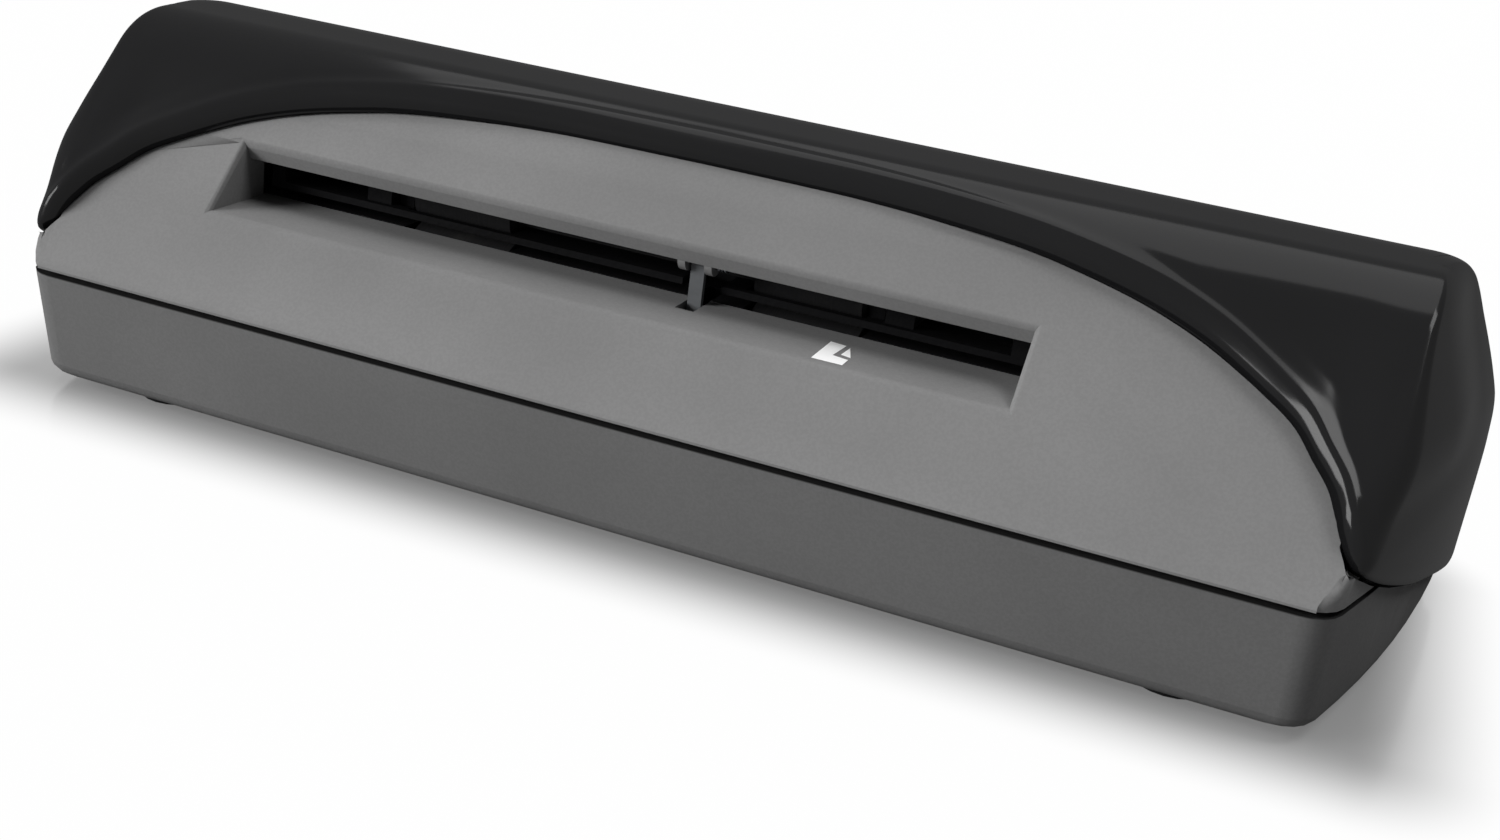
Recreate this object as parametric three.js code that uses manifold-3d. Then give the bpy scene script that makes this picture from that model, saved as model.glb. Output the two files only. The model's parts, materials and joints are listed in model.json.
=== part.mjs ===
// Sheet-fed card scanner: a grey two-part case with a sloped front and a long feed slot,
// under a black saddle-shaped cover that is hinged at its rear corners.
// Millimetres, +Z up. X runs along the case, -Y is the front, and the origin is on the
// ground under the middle of the case.
import * as THREE from 'three';
import { mergeVertices } from 'three/addons/utils/BufferGeometryUtils.js';
import Module from 'manifold-3d';

const wasm = await Module();
wasm.setup();

// Case, seen from above
const body_depth = 66;
const end_half_length = 92;
const end_flare_deg = 12.1;
const end_bow_radius = 250;
const front_corner_radius = 4.5;
const rear_corner_radius = 6;

// Case, seen from the end
const foot_height = 1.5;
const seam_height = 17.2;
const seam_groove = 0.7;
const case_wall = 2;
const end_wall = 2;
const tongue_inset = 1.1;
const cheek_depth = 14;
const inner_end_x = 81;
const front_lean = 3.3;
const end_lean = 0.6;
const rear_lean = 1.2;
const bottom_edge_radius = 2;
const back_slope_deg = 64;

// Sloped front panel and its slot
const panel_slope_deg = 47;
const slot_setback = 9;
const slot_height = 27.5;
const slot_width = 106;
const slot_offset = -8.4;
const slot_mouth = 10.65;
const slot_lip_depth = 1.3;
const slot_lip_drop = 2.3;
const path_floor = 1.2;
const slot_floor_depth = 12.4;
const panel_tuck = 2;
const throat_wall = 1.2;
const throat_depth = 11.5;
const lip_wall = 0.6;

// Cover
const crown_height = 47.8;
const ridge_front_share = 0.2266;
const ridge_back_share = 0.52;
const cover_proud = 2.4;
const cover_side_proud = 1.2;
const cover_wall = 2.1;
const cover_gap = 0.3;
const lobe_gap = 0.8;
const cover_post_radius = 2.2;
const stake_radius = 0.8;
const stake_head_radius = 1.5;
const stake_head_height = 0.7;
const post_inset = 3.2;
const post_end = 8;
const arc_half_width = 83.5;
const arc_rise = 22.4;
const arc_half_shares = [
  [0, 1], [0.204, 0.993], [0.3, 0.975], [0.383, 0.946], [0.479, 0.9], [0.569, 0.83],
  [0.659, 0.741], [0.7485, 0.609], [0.843, 0.393], [0.889, 0.268], [0.922, 0.116],
  [0.9485, -0.009], [0.971, -0.19], [0.987, -0.308], [0.9965, -0.39],
];
const lobe_front_height = 23.2;
const lobe_rear_height = 4.2;
const lobe_edge_shares = [
  [0, 1], [0.07, 0.884], [0.175, 0.737], [0.309, 0.589], [0.447, 0.458], [0.579, 0.358], [1, 0],
];
const cover_end_shares = [
  [0.063, 0], [0.335, 0], [0.46, 0.0105], [0.586, 0.042], [0.732, 0.067], [0.858, 0.084],
  [0.92, 0.105], [0.962, 0.146], [0.987, 0.209], [1, 0.293], [1.25, 0.293],
];
const exit_height = 4.8;
const exit_margin = 2;
const rear_edge_height = 20.5;

// Cover hinge
const hinge_setback = 9;
const hinge_height = 12;
const hinge_pin_radius = 1.5;
const hinge_pin_inside = 2.5;
const hinge_pin_skin = 0.6;
const hinge_ear_radius = 8.6;
const hinge_ear_end_deg = 35;
const hinge_notch_x = 91;
const hinge_pad_margin = 1;
const rear_wall_half_width = 90;

// General fits
const seat_gap = 0.1;
const running_gap = 0.3;
const shaft_gap = 0.3;
const overrun = 5;
const weld_grid = 0.002;

// Feed path
const feed_setback = 25.5;
const feed_spacing = 22.5;
const tyre_radius = 4.5;
const tyre_width = 14;
const tyre_wall = 1.5;
const tyre_spread = 24;
const tyre_rise = 0.3;
const shaft_radius = 1.5;
const shaft_end = 1.5;
const deck_margin = 2;
const deck_rear_gap = 1.2;
const window_gap = 0.8;

// Side frames, bushings and gear plate
const frame_plate = 1.5;
const frame_front_setback = 14;
const frame_rear_setback = 9;
const bush_radius = 2.3;
const bush_flange_radius = 2.8;
const bush_flange = 0.8;
const gear_plate_thickness = 1.2;
const gear_plate_front = 6.5;
const gear_plate_rear = 24;
const gear_plate_top = 9;
const gear_post_radius = 1.6;

// Gears
const gear_module = 0.8;
const gear_face = 2.6;
const gear_side_gap = 0.5;
const gear_hub_gap = 0.8;
const feed_teeth = 24;
const transfer_teeth = 16;
const compound_small_teeth = 10;
const compound_large_teeth = 22;
const pinion_teeth = 10;
const compound_bearing_deg = 136;
const pinion_bearing_deg = -80;
const stud_radius = 1.2;
const stud_collar_radius = 2.4;
const tooth_backlash_share = 0.12;
const tooth_tip_share = 0.52;
const tooth_root_share = 1.3;
const addendum_share = 0.85;
const dedendum_share = 1.15;

// Motor
const motor_radius = 10;
const motor_length = 16;
const motor_boss_radius = 4;
const motor_boss_height = 0.9;
const motor_shaft_radius = 1;
const motor_shaft_depth = 3;

// Image sensor
const sensor_width = 10.5;
const sensor_height = 11.5;
const sensor_glass_width = 8;
const sensor_glass_thickness = 1.3;
const sensor_glass_end = 1.5;
const sensor_end_gap = 0.2;
const sensor_ledge = 1;
const sensor_channel_depth = 2;
const sensor_sink = 1.3;
const sensor_spring = { radius: 2.2, wire: 0.6, turns: 4 };
const sensor_spring_spread = 40;
const spring_steps_per_turn = 8;
const spring_wire_sides = 5;

// Main board and sockets
const board_thickness = 1.6;
const board_rise = 3;
const board_front_setback = 13;
const board_rear_setback = 6.4;
const board_left_x = -58;
const board_right_x = 41;
const board_post_radius = 2;
const board_post_inset = 4;
const socket_face_setback = 1.4;
const usb_width = 7.7;
const usb_height = 3.9;
const usb_length = 9;
const usb_offset = -24;
const usb_wall = 0.5;
const usb_tongue_width = 3.9;
const socket_back = 1;
const socket_port_gap = 0.5;

// Card lever, its lugs and its light gate
const lever_offset = 2.4;
const lever_setback = 19.4;
const lever_pivot_rise = 5.7;
const lever_reach = 8.2;
const lever_width = 1.8;
const lever_thickness = 0.8;
const lever_pin_radius = 0.6;
const lever_hub_radius = 0.9;
const lever_side_gap = 0.35;
const lever_pin_end = 1.6;
const lever_notch_half = 2.6;
const lever_notch_short = 0.4;
const lug_thickness = 1;
const lug_radius = 1.8;
const lug_root = 4;
const lever_hole_front = 3.4;
const gate_prong = 1.2;
const gate_depth = 3;
const gate_height = 4.6;
const gate_base = 1.2;
const gate_clear = 0.2;
const lever_spring_radius = 0.95;
const lever_spring_wire = 0.3;
const lever_spring_turns = 3;
const lever_spring_pitch_share = 1.4;

// Cover frame, pinch rollers and their carriers
const cover_frame_plate = 1.6;
const cover_frame_top_gap = 4.5;
const cover_frame_front_setback = 21;
const cover_frame_rear_setback = 12.5;
const cover_frame_side = 2;
const cover_frame_clear = 1;
const cover_frame_shoulder = 5;
const frame_end_gap = 1;
const guide_gap = 1.4;
const guide_plate = 0.9;
const pinch_radius = 3;
const pinch_axle_radius = 1;
const carrier_height = 2;
const carrier_width = 7;
const carrier_arm = 2;
const carrier_lift = 3.5;
const arm_half = 1.9;
const carrier_end = 4.5;
const carrier_overhang = 1.8;
const ledge_depth = 1.3;
const pinch_spring = { radius: 1.3, wire: 0.4, turns: 2 };
const pinch_spring_offset = 1.9;
const backing_width = 8;
const backing_gap = 0.7;

// Flat cable between the image sensor and the main board
const ribbon_width = 12;
const ribbon_thickness = 0.3;
const ribbon_offset = -30;
const ribbon_bulge = 2.4;
const ribbon_rise = 3;
const cable_socket_depth = 4;
const cable_socket_height = 2;
const chip_offset = 5;
const chip_size = 12;
const chip_height = 1.4;

// Case screws and feet
const screw_spread = 76;
const screw_front_setback = 15;
const screw_rear_setback = 11;
const boss_radius = 3.6;
const screw_radius = 1.25;
const screw_head_radius = 2.4;
const screw_head_height = 1.6;
const screw_boss_rise = 7;
const screw_bite = 5;
const screw_sink = 4;
const foot_radius = 5;
const foot_spread = 68;
const foot_setback = 12;
const foot_recess = 0.8;

// Facet counts
const round_sides = 20;
const tyre_sides = 24;
const small_sides = 12;
const end_bow_steps = 8;
const corner_steps = 4;
const arc_steps = 36;

// Derived places
const front_y = -body_depth / 2;
const rear_y = body_depth / 2;
const slope = THREE.MathUtils.degToRad(panel_slope_deg);
const back_slope = THREE.MathUtils.degToRad(back_slope_deg);
const slot_y = front_y + slot_setback;
const seam_low = seam_height - seam_groove / 2;
const seam_high = seam_height + seam_groove / 2;
const slot_left = slot_offset - slot_width / 2;
const slot_right = slot_offset + slot_width / 2;
const feed_y = front_y + feed_setback;
const exit_y = feed_y + feed_spacing;
const shaft_z = slot_height + tyre_rise - tyre_radius;
const floor_top = foot_height + case_wall;
const deck_bottom = slot_height - path_floor;
const frame_right_x = slot_right + deck_margin - frame_plate;
const frame_left_x = slot_left - deck_margin + frame_plate;
const gear_a_x = frame_right_x + frame_plate + gear_hub_gap;
const gear_b_x = gear_a_x + gear_face + gear_side_gap;
const gear_plate_x = gear_b_x + gear_face + gear_side_gap;
const sensor_y = (feed_y + exit_y) / 2;
const hinge_y = rear_y - hinge_setback;
const pinch_z = slot_height + tyre_rise + running_gap + pinch_radius;
const lever_y = front_y + lever_setback;
const lever_z = slot_height + lever_pivot_rise;
const board_z = floor_top + board_rise;
const board_top = board_z + board_thickness + seat_gap;
const board_front_y = front_y + board_front_setback;
const board_rear_y = rear_y - board_rear_setback;
const socket_face_y = rear_y - socket_face_setback;
const sensor_top_z = slot_height - sensor_sink;
const screw_boss_top = seam_high + screw_boss_rise;
const screw_tip_z = seam_high + screw_bite;
const guide_bottom_z = slot_height + guide_gap;
const frame_top_z = crown_height - cover_wall - cover_frame_top_gap;
const frame_shoulder_z = frame_top_z - cover_frame_shoulder;
const cover_frame_front_y = front_y + cover_frame_front_setback;
const cover_frame_rear_y = rear_y - cover_frame_rear_setback;
const cover_frame_crown_front = cover_frame_front_y + cover_frame_shoulder / Math.tan(slope);
const cover_frame_crown_rear = cover_frame_rear_y - cover_frame_shoulder / Math.tan(slope);
const carrier_half = tyre_spread + tyre_width / 2 + carrier_end;
const carrier_bar_z = pinch_z + carrier_lift;
const end_flare = THREE.MathUtils.degToRad(end_flare_deg);
const bow_centre_x = end_half_length - end_bow_radius * Math.cos(end_flare);
const bow_centre_y = end_bow_radius * Math.sin(end_flare);

const finishes = {
  panel_grey: { color: 0x7a7a7a, roughness: 0.55, metalness: 0 },
  base_grey: { color: 0x585858, roughness: 0.6, metalness: 0 },
  gloss_black: { color: 0x1c1c1c, roughness: 0.22, metalness: 0 },
  inner_black: { color: 0x161616, roughness: 0.7, metalness: 0 },
  rubber: { color: 0x202020, roughness: 0.9, metalness: 0 },
  roller_grey: { color: 0x8d8f92, roughness: 0.6, metalness: 0 },
  steel: { color: 0xb9bcc0, roughness: 0.35, metalness: 1 },
  zinc: { color: 0xa8abae, roughness: 0.45, metalness: 1 },
  gear_white: { color: 0xe4e2da, roughness: 0.5, metalness: 0 },
  brass: { color: 0xb99a4c, roughness: 0.4, metalness: 1 },
  glass: { color: 0xbfd0cf, roughness: 0.05, metalness: 0 },
  white: { color: 0xeeeeea, roughness: 0.6, metalness: 0 },
  board_green: { color: 0x1f5a36, roughness: 0.5, metalness: 0 },
  ribbon: { color: 0xe8e6df, roughness: 0.5, metalness: 0 },
};

const scanner = new THREE.Group();

// Turns a closed three.js geometry into a solid that can be joined and cut
function toSolid(geometry) {
  const bare = geometry.clone();
  bare.deleteAttribute('normal');
  bare.deleteAttribute('uv');
  const merged = mergeVertices(bare);
  return new wasm.Manifold(new wasm.Mesh({
    numProp: 3,
    vertProperties: new Float32Array(merged.attributes.position.array),
    triVerts: new Uint32Array(merged.index.array),
  }));
}

// Turns a solid back into a geometry, welding the near-equal corners that cuts leave behind
function toGeometry(solid) {
  const mesh = solid.getMesh();
  const geometry = new THREE.BufferGeometry();
  const snapped = mesh.vertProperties.map((value) => Math.round(value / weld_grid) * weld_grid);
  geometry.setAttribute('position', new THREE.BufferAttribute(snapped, 3));
  geometry.setIndex(new THREE.BufferAttribute(mesh.triVerts, 1));
  const welded = mergeVertices(geometry, weld_grid / 2);
  const corners = welded.index.array;
  const kept = [];
  for (let i = 0; i < corners.length; i += 3) {
    const [a, b, c] = [corners[i], corners[i + 1], corners[i + 2]];
    if (a !== b && b !== c && c !== a) kept.push(a, b, c);
  }
  welded.setIndex(kept);
  return welded;
}

// Adds one named piece to the scanner
function place(name, solid, finish) {
  const mesh = new THREE.Mesh(toGeometry(solid), new THREE.MeshStandardMaterial(finish));
  mesh.name = name;
  scanner.add(mesh);
}

function block(x, y, z) {
  const geometry = new THREE.BoxGeometry(x[1] - x[0], y[1] - y[0], z[1] - z[0]);
  return toSolid(geometry.translate((x[0] + x[1]) / 2, (y[0] + y[1]) / 2, (z[0] + z[1]) / 2));
}

// Carries a side outline straight along X; each point is [y, z]
function prismX(points, low, high) {
  const shape = new THREE.Shape(points.map(([y, z]) => new THREE.Vector2(y, z)));
  const geometry = new THREE.ExtrudeGeometry(shape, { depth: high - low, bevelEnabled: false });
  const turn = new THREE.Matrix4().makeBasis(
    new THREE.Vector3(0, 1, 0), new THREE.Vector3(0, 0, 1), new THREE.Vector3(1, 0, 0));
  return toSolid(geometry.applyMatrix4(turn).translate(low, 0, 0));
}

// Carries a front outline straight along Y; each point is [x, z]
function prismY(points, low, high) {
  const shape = new THREE.Shape(points.map(([x, z]) => new THREE.Vector2(x, z)));
  const geometry = new THREE.ExtrudeGeometry(shape, { depth: high - low, bevelEnabled: false });
  return toSolid(geometry.rotateX(Math.PI / 2).translate(0, high, 0));
}

function rodX(radius, low, high, y, z, sides = small_sides) {
  const geometry = new THREE.CylinderGeometry(radius, radius, high - low, sides);
  return toSolid(geometry.rotateZ(Math.PI / 2).translate((low + high) / 2, y, z));
}

function rodZ(radius, low, high, x, y, sides = small_sides) {
  const geometry = new THREE.CylinderGeometry(radius, radius, high - low, sides);
  return toSolid(geometry.rotateX(Math.PI / 2).translate(x, y, (low + high) / 2));
}

// Joins a list of solids into one
function join(solids) {
  return solids.reduce((whole, piece) => whole.add(piece));
}

// Cuts each solid of a list from the first
function cut(solid, tools) {
  return tools.reduce((rest, tool) => rest.subtract(tool), solid);
}

// Outline of the case from above, drawn in by an inset at the front, the ends and the rear.
// Each end is an arc that flares outward to the rear, met by a round corner front and rear.
function planOutline(front_inset, end_inset, rear_inset, corner_inset) {
  const radius = end_bow_radius - end_inset;
  const corners = [
    { radius: front_corner_radius - corner_inset, y: front_y + front_inset, side: 1 },
    { radius: rear_corner_radius - corner_inset, y: rear_y - rear_inset, side: -1 },
  ].map((corner) => {
    const centre_y = corner.y + corner.side * corner.radius;
    const reach = radius - corner.radius;
    const centre_x = bow_centre_x + Math.sqrt(reach ** 2 - (centre_y - bow_centre_y) ** 2);
    const touch = Math.atan2(centre_y - bow_centre_y, centre_x - bow_centre_x);
    return { ...corner, centre_x, centre_y, touch };
  });
  const [front, rear] = corners;
  const right = [];
  for (let i = 0; i <= corner_steps; i++) {
    const angle = THREE.MathUtils.lerp(-Math.PI / 2, front.touch, i / corner_steps);
    right.push([front.centre_x + front.radius * Math.cos(angle),
      front.centre_y + front.radius * Math.sin(angle)]);
  }
  for (let i = 1; i < end_bow_steps; i++) {
    const angle = THREE.MathUtils.lerp(front.touch, rear.touch, i / end_bow_steps);
    right.push([bow_centre_x + radius * Math.cos(angle), bow_centre_y + radius * Math.sin(angle)]);
  }
  for (let i = 0; i <= corner_steps; i++) {
    const angle = THREE.MathUtils.lerp(rear.touch, Math.PI / 2, i / corner_steps);
    right.push([rear.centre_x + rear.radius * Math.cos(angle),
      rear.centre_y + rear.radius * Math.sin(angle)]);
  }
  const left = right.map(([x, y]) => [-x, y]).reverse();
  return [...right, ...left];
}

// Closed skin through outlines of equal length, one above the other
function loft(levels) {
  const count = levels[0].points.length;
  const positions = levels.flatMap(({ points, z }) => points.flatMap(([x, y]) => [x, y, z]));
  const faces = [];
  for (let level = 0; level + 1 < levels.length; level++) {
    for (let i = 0; i < count; i++) {
      const a = level * count + i;
      const b = level * count + (i + 1) % count;
      faces.push(a, b, b + count, a, b + count, a + count);
    }
  }
  const flat = levels[0].points.map(([x, y]) => new THREE.Vector2(x, y));
  const top = (levels.length - 1) * count;
  for (const [a, b, c] of THREE.ShapeUtils.triangulateShape(flat, [])) {
    faces.push(a, c, b, top + a, top + b, top + c);
  }
  const geometry = new THREE.BufferGeometry();
  geometry.setAttribute('position', new THREE.Float32BufferAttribute(positions, 3));
  geometry.setIndex(faces);
  return toSolid(geometry);
}

// Solid standing on a plan outline, the same at every height
function column(outline, low, high) {
  return loft([{ points: outline, z: low }, { points: outline, z: high }]);
}

// Point of the sloped front panel, a distance up the slope and a distance out of it
function panelPoint(up, out) {
  return [slot_y + up * Math.cos(slope) - out * Math.sin(slope),
    slot_height + up * Math.sin(slope) + out * Math.cos(slope)];
}

// Moves a geometry drawn flat in X and Y onto the front panel, with its Z along the normal
function ontoPanel(geometry) {
  const turn = new THREE.Matrix4().makeBasis(
    new THREE.Vector3(1, 0, 0),
    new THREE.Vector3(0, Math.cos(slope), Math.sin(slope)),
    new THREE.Vector3(0, -Math.sin(slope), Math.cos(slope)));
  return geometry.applyMatrix4(turn).translate(0, slot_y, slot_height);
}

// The arc in which the cover crosses the front panel, drawn out by a margin and closed below
function arcShape(margin, low) {
  const half = arc_half_shares.map(([x, up]) =>
    new THREE.Vector2(x * (arc_half_width + margin), up * (arc_rise + margin)));
  const mirrored = half.slice(1).map((point) => new THREE.Vector2(-point.x, point.y)).reverse();
  const curve = new THREE.SplineCurve([...mirrored, ...half]);
  const points = curve.getPoints(arc_steps);
  const end = points[points.length - 1];
  return new THREE.Shape([...points,
    new THREE.Vector2(end.x, low), new THREE.Vector2(-end.x, low)].reverse());
}

// Block with the arc's outline, standing on the panel from one depth to another
function arcBlock(margin, low, inner, outer) {
  const geometry = new THREE.ExtrudeGeometry(arcShape(margin, low),
    { depth: outer - inner, bevelEnabled: false });
  return toSolid(ontoPanel(geometry.translate(0, 0, inner)));
}

// Points of an arc in a side outline, from one angle to another
function arcPoints(y, z, radius, from, to, steps) {
  return Array.from({ length: steps + 1 }, (_, i) => {
    const angle = THREE.MathUtils.lerp(from, to, i / steps);
    return [y + radius * Math.cos(angle), z + radius * Math.sin(angle)];
  });
}

// Side outline of the cover: the panel's slope, a round ridge and a steeper back, drawn in.
// The ridge's two rounds each take a share of the crown, from one slope's line to the other's.
function coverProfile(inset) {
  const [base_y, base_z] = panelPoint(0, cover_proud);
  const back_y = rear_y + cover_side_proud;
  const crown_front_y = base_y + (crown_height - base_z) / Math.tan(slope);
  const crown_back_y = back_y - (crown_height - seam_height) / Math.tan(back_slope);
  const crown_width = crown_back_y - crown_front_y;
  const front_radius = ridge_front_share * crown_width / Math.tan(slope / 2);
  const back_radius = ridge_back_share * crown_width / Math.tan(back_slope / 2);
  const front_centre_y = crown_front_y + ridge_front_share * crown_width;
  const back_centre_y = crown_back_y - ridge_back_share * crown_width;
  const inner_back_y = back_y - inset / Math.sin(back_slope);
  const [, low_z] = panelPoint(0, cover_proud - inset);
  const quarter = Math.PI / 2;
  return [
    panelPoint((0 - low_z) / Math.sin(slope), cover_proud - inset),
    ...arcPoints(front_centre_y, crown_height - front_radius, front_radius - inset,
      quarter + slope, quarter, corner_steps),
    ...arcPoints(back_centre_y, crown_height - back_radius, back_radius - inset,
      quarter, quarter - back_slope, corner_steps),
    [inner_back_y, seam_height],
    [inner_back_y, 0],
  ];
}

// Solid inside the cover's leaning ends, drawn in by an inset, with its front moved out of the way
function coverEnds(inset, front_inset) {
  return loft(cover_end_shares.map(([height, lean], i) => ({
    points: planOutline(front_inset, lean * crown_height - cover_side_proud + inset,
      inset - cover_side_proud, 0),
    z: i === 0 ? -overrun : height * crown_height,
  })));
}

// Solid bounded by the cover's outer skin, drawn in by an inset
function coverBody(inset) {
  return coverEnds(inset, inset - cover_side_proud)
    .intersect(prismX(coverProfile(inset), -far, far));
}

const far = end_half_length + overrun;
const cover_recess = cover_wall - cover_side_proud + lobe_gap;

// Everything below the lower edge of the cover's end lobes, with a gap
function belowLobes(gap) {
  const edge = lobe_edge_shares.map(([along, up]) => [
    THREE.MathUtils.lerp(front_y, hinge_y, along),
    THREE.MathUtils.lerp(lobe_rear_height, lobe_front_height, up) - gap,
  ]);
  return prismX([
    [front_y - overrun, -overrun], [front_y - overrun, lobe_front_height - gap], ...edge,
    [rear_y + overrun, lobe_rear_height - gap], [rear_y + overrun, -overrun],
  ], -far, far);
}

// The space that the cover's end lobes lie in, outside the leaning ends of the case, with a round
// pocket at each rear corner in which the lobe's end turns about the hinge
function lobeRecess() {
  const inner = coverEnds(cover_wall + lobe_gap, -overrun)
    .intersect(prismX(coverProfile(cover_wall + cover_gap), -far, far));
  const pockets = [-1, 1].map((side) => endRod(side, hinge_ear_radius + cover_gap,
    hinge_notch_x, far, hinge_y, hinge_height, round_sides));
  const behind = cut(block([-far, far], [hinge_y, rear_y + overrun], [hinge_height, crown_height]),
    [block([-hinge_notch_x, hinge_notch_x], [hinge_y, rear_y + overrun], [0, seam_high])]);
  const covered = cut(block([-far, far], [front_y - overrun, hinge_y], [0, crown_height]),
    [belowLobes(cover_gap), arcBlock(-cover_gap, -far, -far, far)]);
  return join([join([covered, behind]).subtract(inner), ...pockets]);
}

// Half-length of the case's end at a place front to back
function endReach(y) {
  return bow_centre_x + Math.sqrt(end_bow_radius ** 2 - (y - bow_centre_y) ** 2);
}

const hinge_reach = endReach(hinge_y);
const hinge_pin_start = hinge_reach - cover_recess - end_wall - hinge_pin_inside;
const hinge_pin_end = hinge_reach + cover_side_proud - hinge_pin_skin;

function makeTopCover() {
  const ear_inner_x = hinge_notch_x + cover_gap;
  const rear_cut = prismY([
    [-ear_inner_x, -overrun], [ear_inner_x, -overrun],
    [ear_inner_x, rear_edge_height], [slot_right + exit_margin, slot_height + exit_height],
    [slot_left - exit_margin, slot_height + exit_height], [-ear_inner_x, rear_edge_height],
  ], hinge_y - hinge_ear_radius, rear_y + overrun);
  const corner_cut = prismX([
    ...arcPoints(hinge_y, hinge_height, hinge_ear_radius, -Math.PI / 2,
      THREE.MathUtils.degToRad(hinge_ear_end_deg), corner_steps * 2),
    [hinge_y + hinge_ear_radius, rear_edge_height], [hinge_y + hinge_ear_radius, crown_height],
    [rear_y + overrun, crown_height],
    [rear_y + overrun, -overrun], [hinge_y, -overrun],
  ], -far, far);
  const shell = cut(coverBody(0), [coverBody(cover_wall), belowLobes(0), rear_cut, corner_cut,
    arcBlock(0, -far, -far, far)]);
  const pin_holes = [-1, 1].map((side) => endRod(side, hinge_pin_radius + seat_gap,
    hinge_pin_start, hinge_pin_end + seat_gap, hinge_y, hinge_height));
  return join([shell.subtract(join(pin_holes)), ...coverPosts()]);
}

// Rod along X at one end of the case, measured outward from the middle
function endRod(side, radius, inner, outer, y, z, sides = small_sides) {
  return side > 0 ? rodX(radius, inner, outer, y, z, sides) : rodX(radius, -outer, -inner, y, z, sides);
}

// Where the cover's posts stand over its frame
function postPlaces() {
  return [-1, 1].flatMap((side) => [cover_frame_crown_front + post_inset, cover_frame_crown_rear - post_inset]
    .map((y) => [slot_offset + side * (slot_width / 2 - post_end), y]));
}

// Posts that the cover's frame hangs from, each with its tip staked over below the frame
function coverPosts() {
  const stake_z = frame_top_z - cover_frame_plate - seat_gap;
  const inside = prismX(coverProfile(cover_wall / 2), -far, far);
  return postPlaces().map(([x, y]) => join([
    rodZ(cover_post_radius, frame_top_z + seat_gap, crown_height, x, y).intersect(inside),
    rodZ(stake_radius, stake_z - stake_head_height, crown_height, x, y).intersect(inside),
    rodZ(stake_head_radius, stake_z - stake_head_height, stake_z, x, y),
  ]));
}

function makeLowerCase() {
  const height = seam_low - foot_height;
  const leaning = (z) => 1 - (z - foot_height) / height;
  const round_levels = Array.from({ length: corner_steps }, (_, i) => {
    const turn = Math.PI / 2 * i / corner_steps;
    return { z: foot_height + bottom_edge_radius * (1 - Math.cos(turn)),
      inset: bottom_edge_radius * (1 - Math.sin(turn)) };
  });
  const levels = [...round_levels,
    { z: foot_height + bottom_edge_radius, inset: 0 }, { z: seam_low, inset: 0 }];
  const skin = loft(levels.map(({ z, inset }) => ({
    points: planOutline(front_lean * leaning(z) + inset, end_lean * leaning(z) + inset,
      rear_lean * leaning(z) + inset, 0),
    z,
  })));
  const corners = [-1, 1].map((side) => block(
    side > 0 ? [hinge_notch_x - end_wall, far] : [-far, end_wall - hinge_notch_x],
    [rear_y - cover_recess - case_wall, rear_y], [0, seam_high]));
  const hollow = cut(loft([
    { points: planOutline(front_lean + case_wall, end_lean + cover_recess + end_wall,
      rear_lean + case_wall, 0), z: floor_top },
    { points: planOutline(case_wall, cover_recess + end_wall, case_wall, 0), z: seam_low + overrun },
  ]), corners);
  const tongue = column(planOutline(tongue_inset, cover_recess + tongue_inset, tongue_inset, 0),
    seam_low - tongue_inset, seam_high - seat_gap)
    .subtract(column(planOutline(case_wall, cover_recess + end_wall, case_wall, 0), 0, crown_height));
  const bosses = screwPlaces().map(([x, y]) => rodZ(boss_radius, foot_height + seat_gap, seam_low, x, y));
  const posts = boardPosts().map(([x, y]) =>
    rodZ(board_post_radius, floor_top - seat_gap, board_z - seat_gap, x, y));
  const hinge_pads = [-1, 1].map((side) => endRod(side, hinge_ear_radius + hinge_pad_margin,
    hinge_pin_start - seat_gap, hinge_reach - cover_recess - end_wall / 2, hinge_y, hinge_height,
    round_sides).intersect(skin));
  const hinge_holes = [-1, 1].map((side) => endRod(side, hinge_pin_radius + shaft_gap,
    hinge_pin_start - overrun, hinge_pin_end, hinge_y, hinge_height));
  const screw_holes = screwPlaces().flatMap(([x, y]) => [
    rodZ(screw_radius + running_gap, 0, seam_high, x, y),
    rodZ(screw_head_radius + running_gap, 0, foot_height + screw_sink, x, y),
  ]);
  const foot_holes = footPlaces().map(([x, y]) =>
    rodZ(foot_radius + running_gap, 0, foot_height + foot_recess, x, y, round_sides));
  const port_half = usb_width / 2 + socket_port_gap;
  const port = block([usb_offset - port_half, usb_offset + port_half],
    [rear_y - overrun, rear_y + overrun],
    [board_top - socket_port_gap, board_top + usb_height + socket_port_gap]);
  const shell = skin.subtract(hollow).add(tongue);
  return cut(cut(shell.add(join([...bosses, ...posts, ...hinge_pads])), [lobeRecess()]),
    [...hinge_holes, ...screw_holes, ...foot_holes, port]);
}

function screwPlaces() {
  return [-1, 1].flatMap((side) => [front_y + screw_front_setback, rear_y - screw_rear_setback]
    .map((y) => [side * screw_spread, y]));
}

function footPlaces() {
  return [-1, 1].flatMap((side) => [-1, 1].map((end) => [side * foot_spread, end * (rear_y - foot_setback)]));
}

function boardPosts() {
  return [board_left_x + board_post_inset, board_right_x - board_post_inset]
    .flatMap((x) => [board_front_y + board_post_inset, board_rear_y - board_post_inset].map((y) => [x, y]));
}

// Everything below a plane parallel to the front panel
function belowPanel(out) {
  const [low_y, low_z] = panelPoint(-far, out);
  const [high_y, high_z] = panelPoint(far, out);
  return prismX([[low_y, low_z], [high_y, low_z], [high_y, high_z]], -far, far);
}

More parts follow.
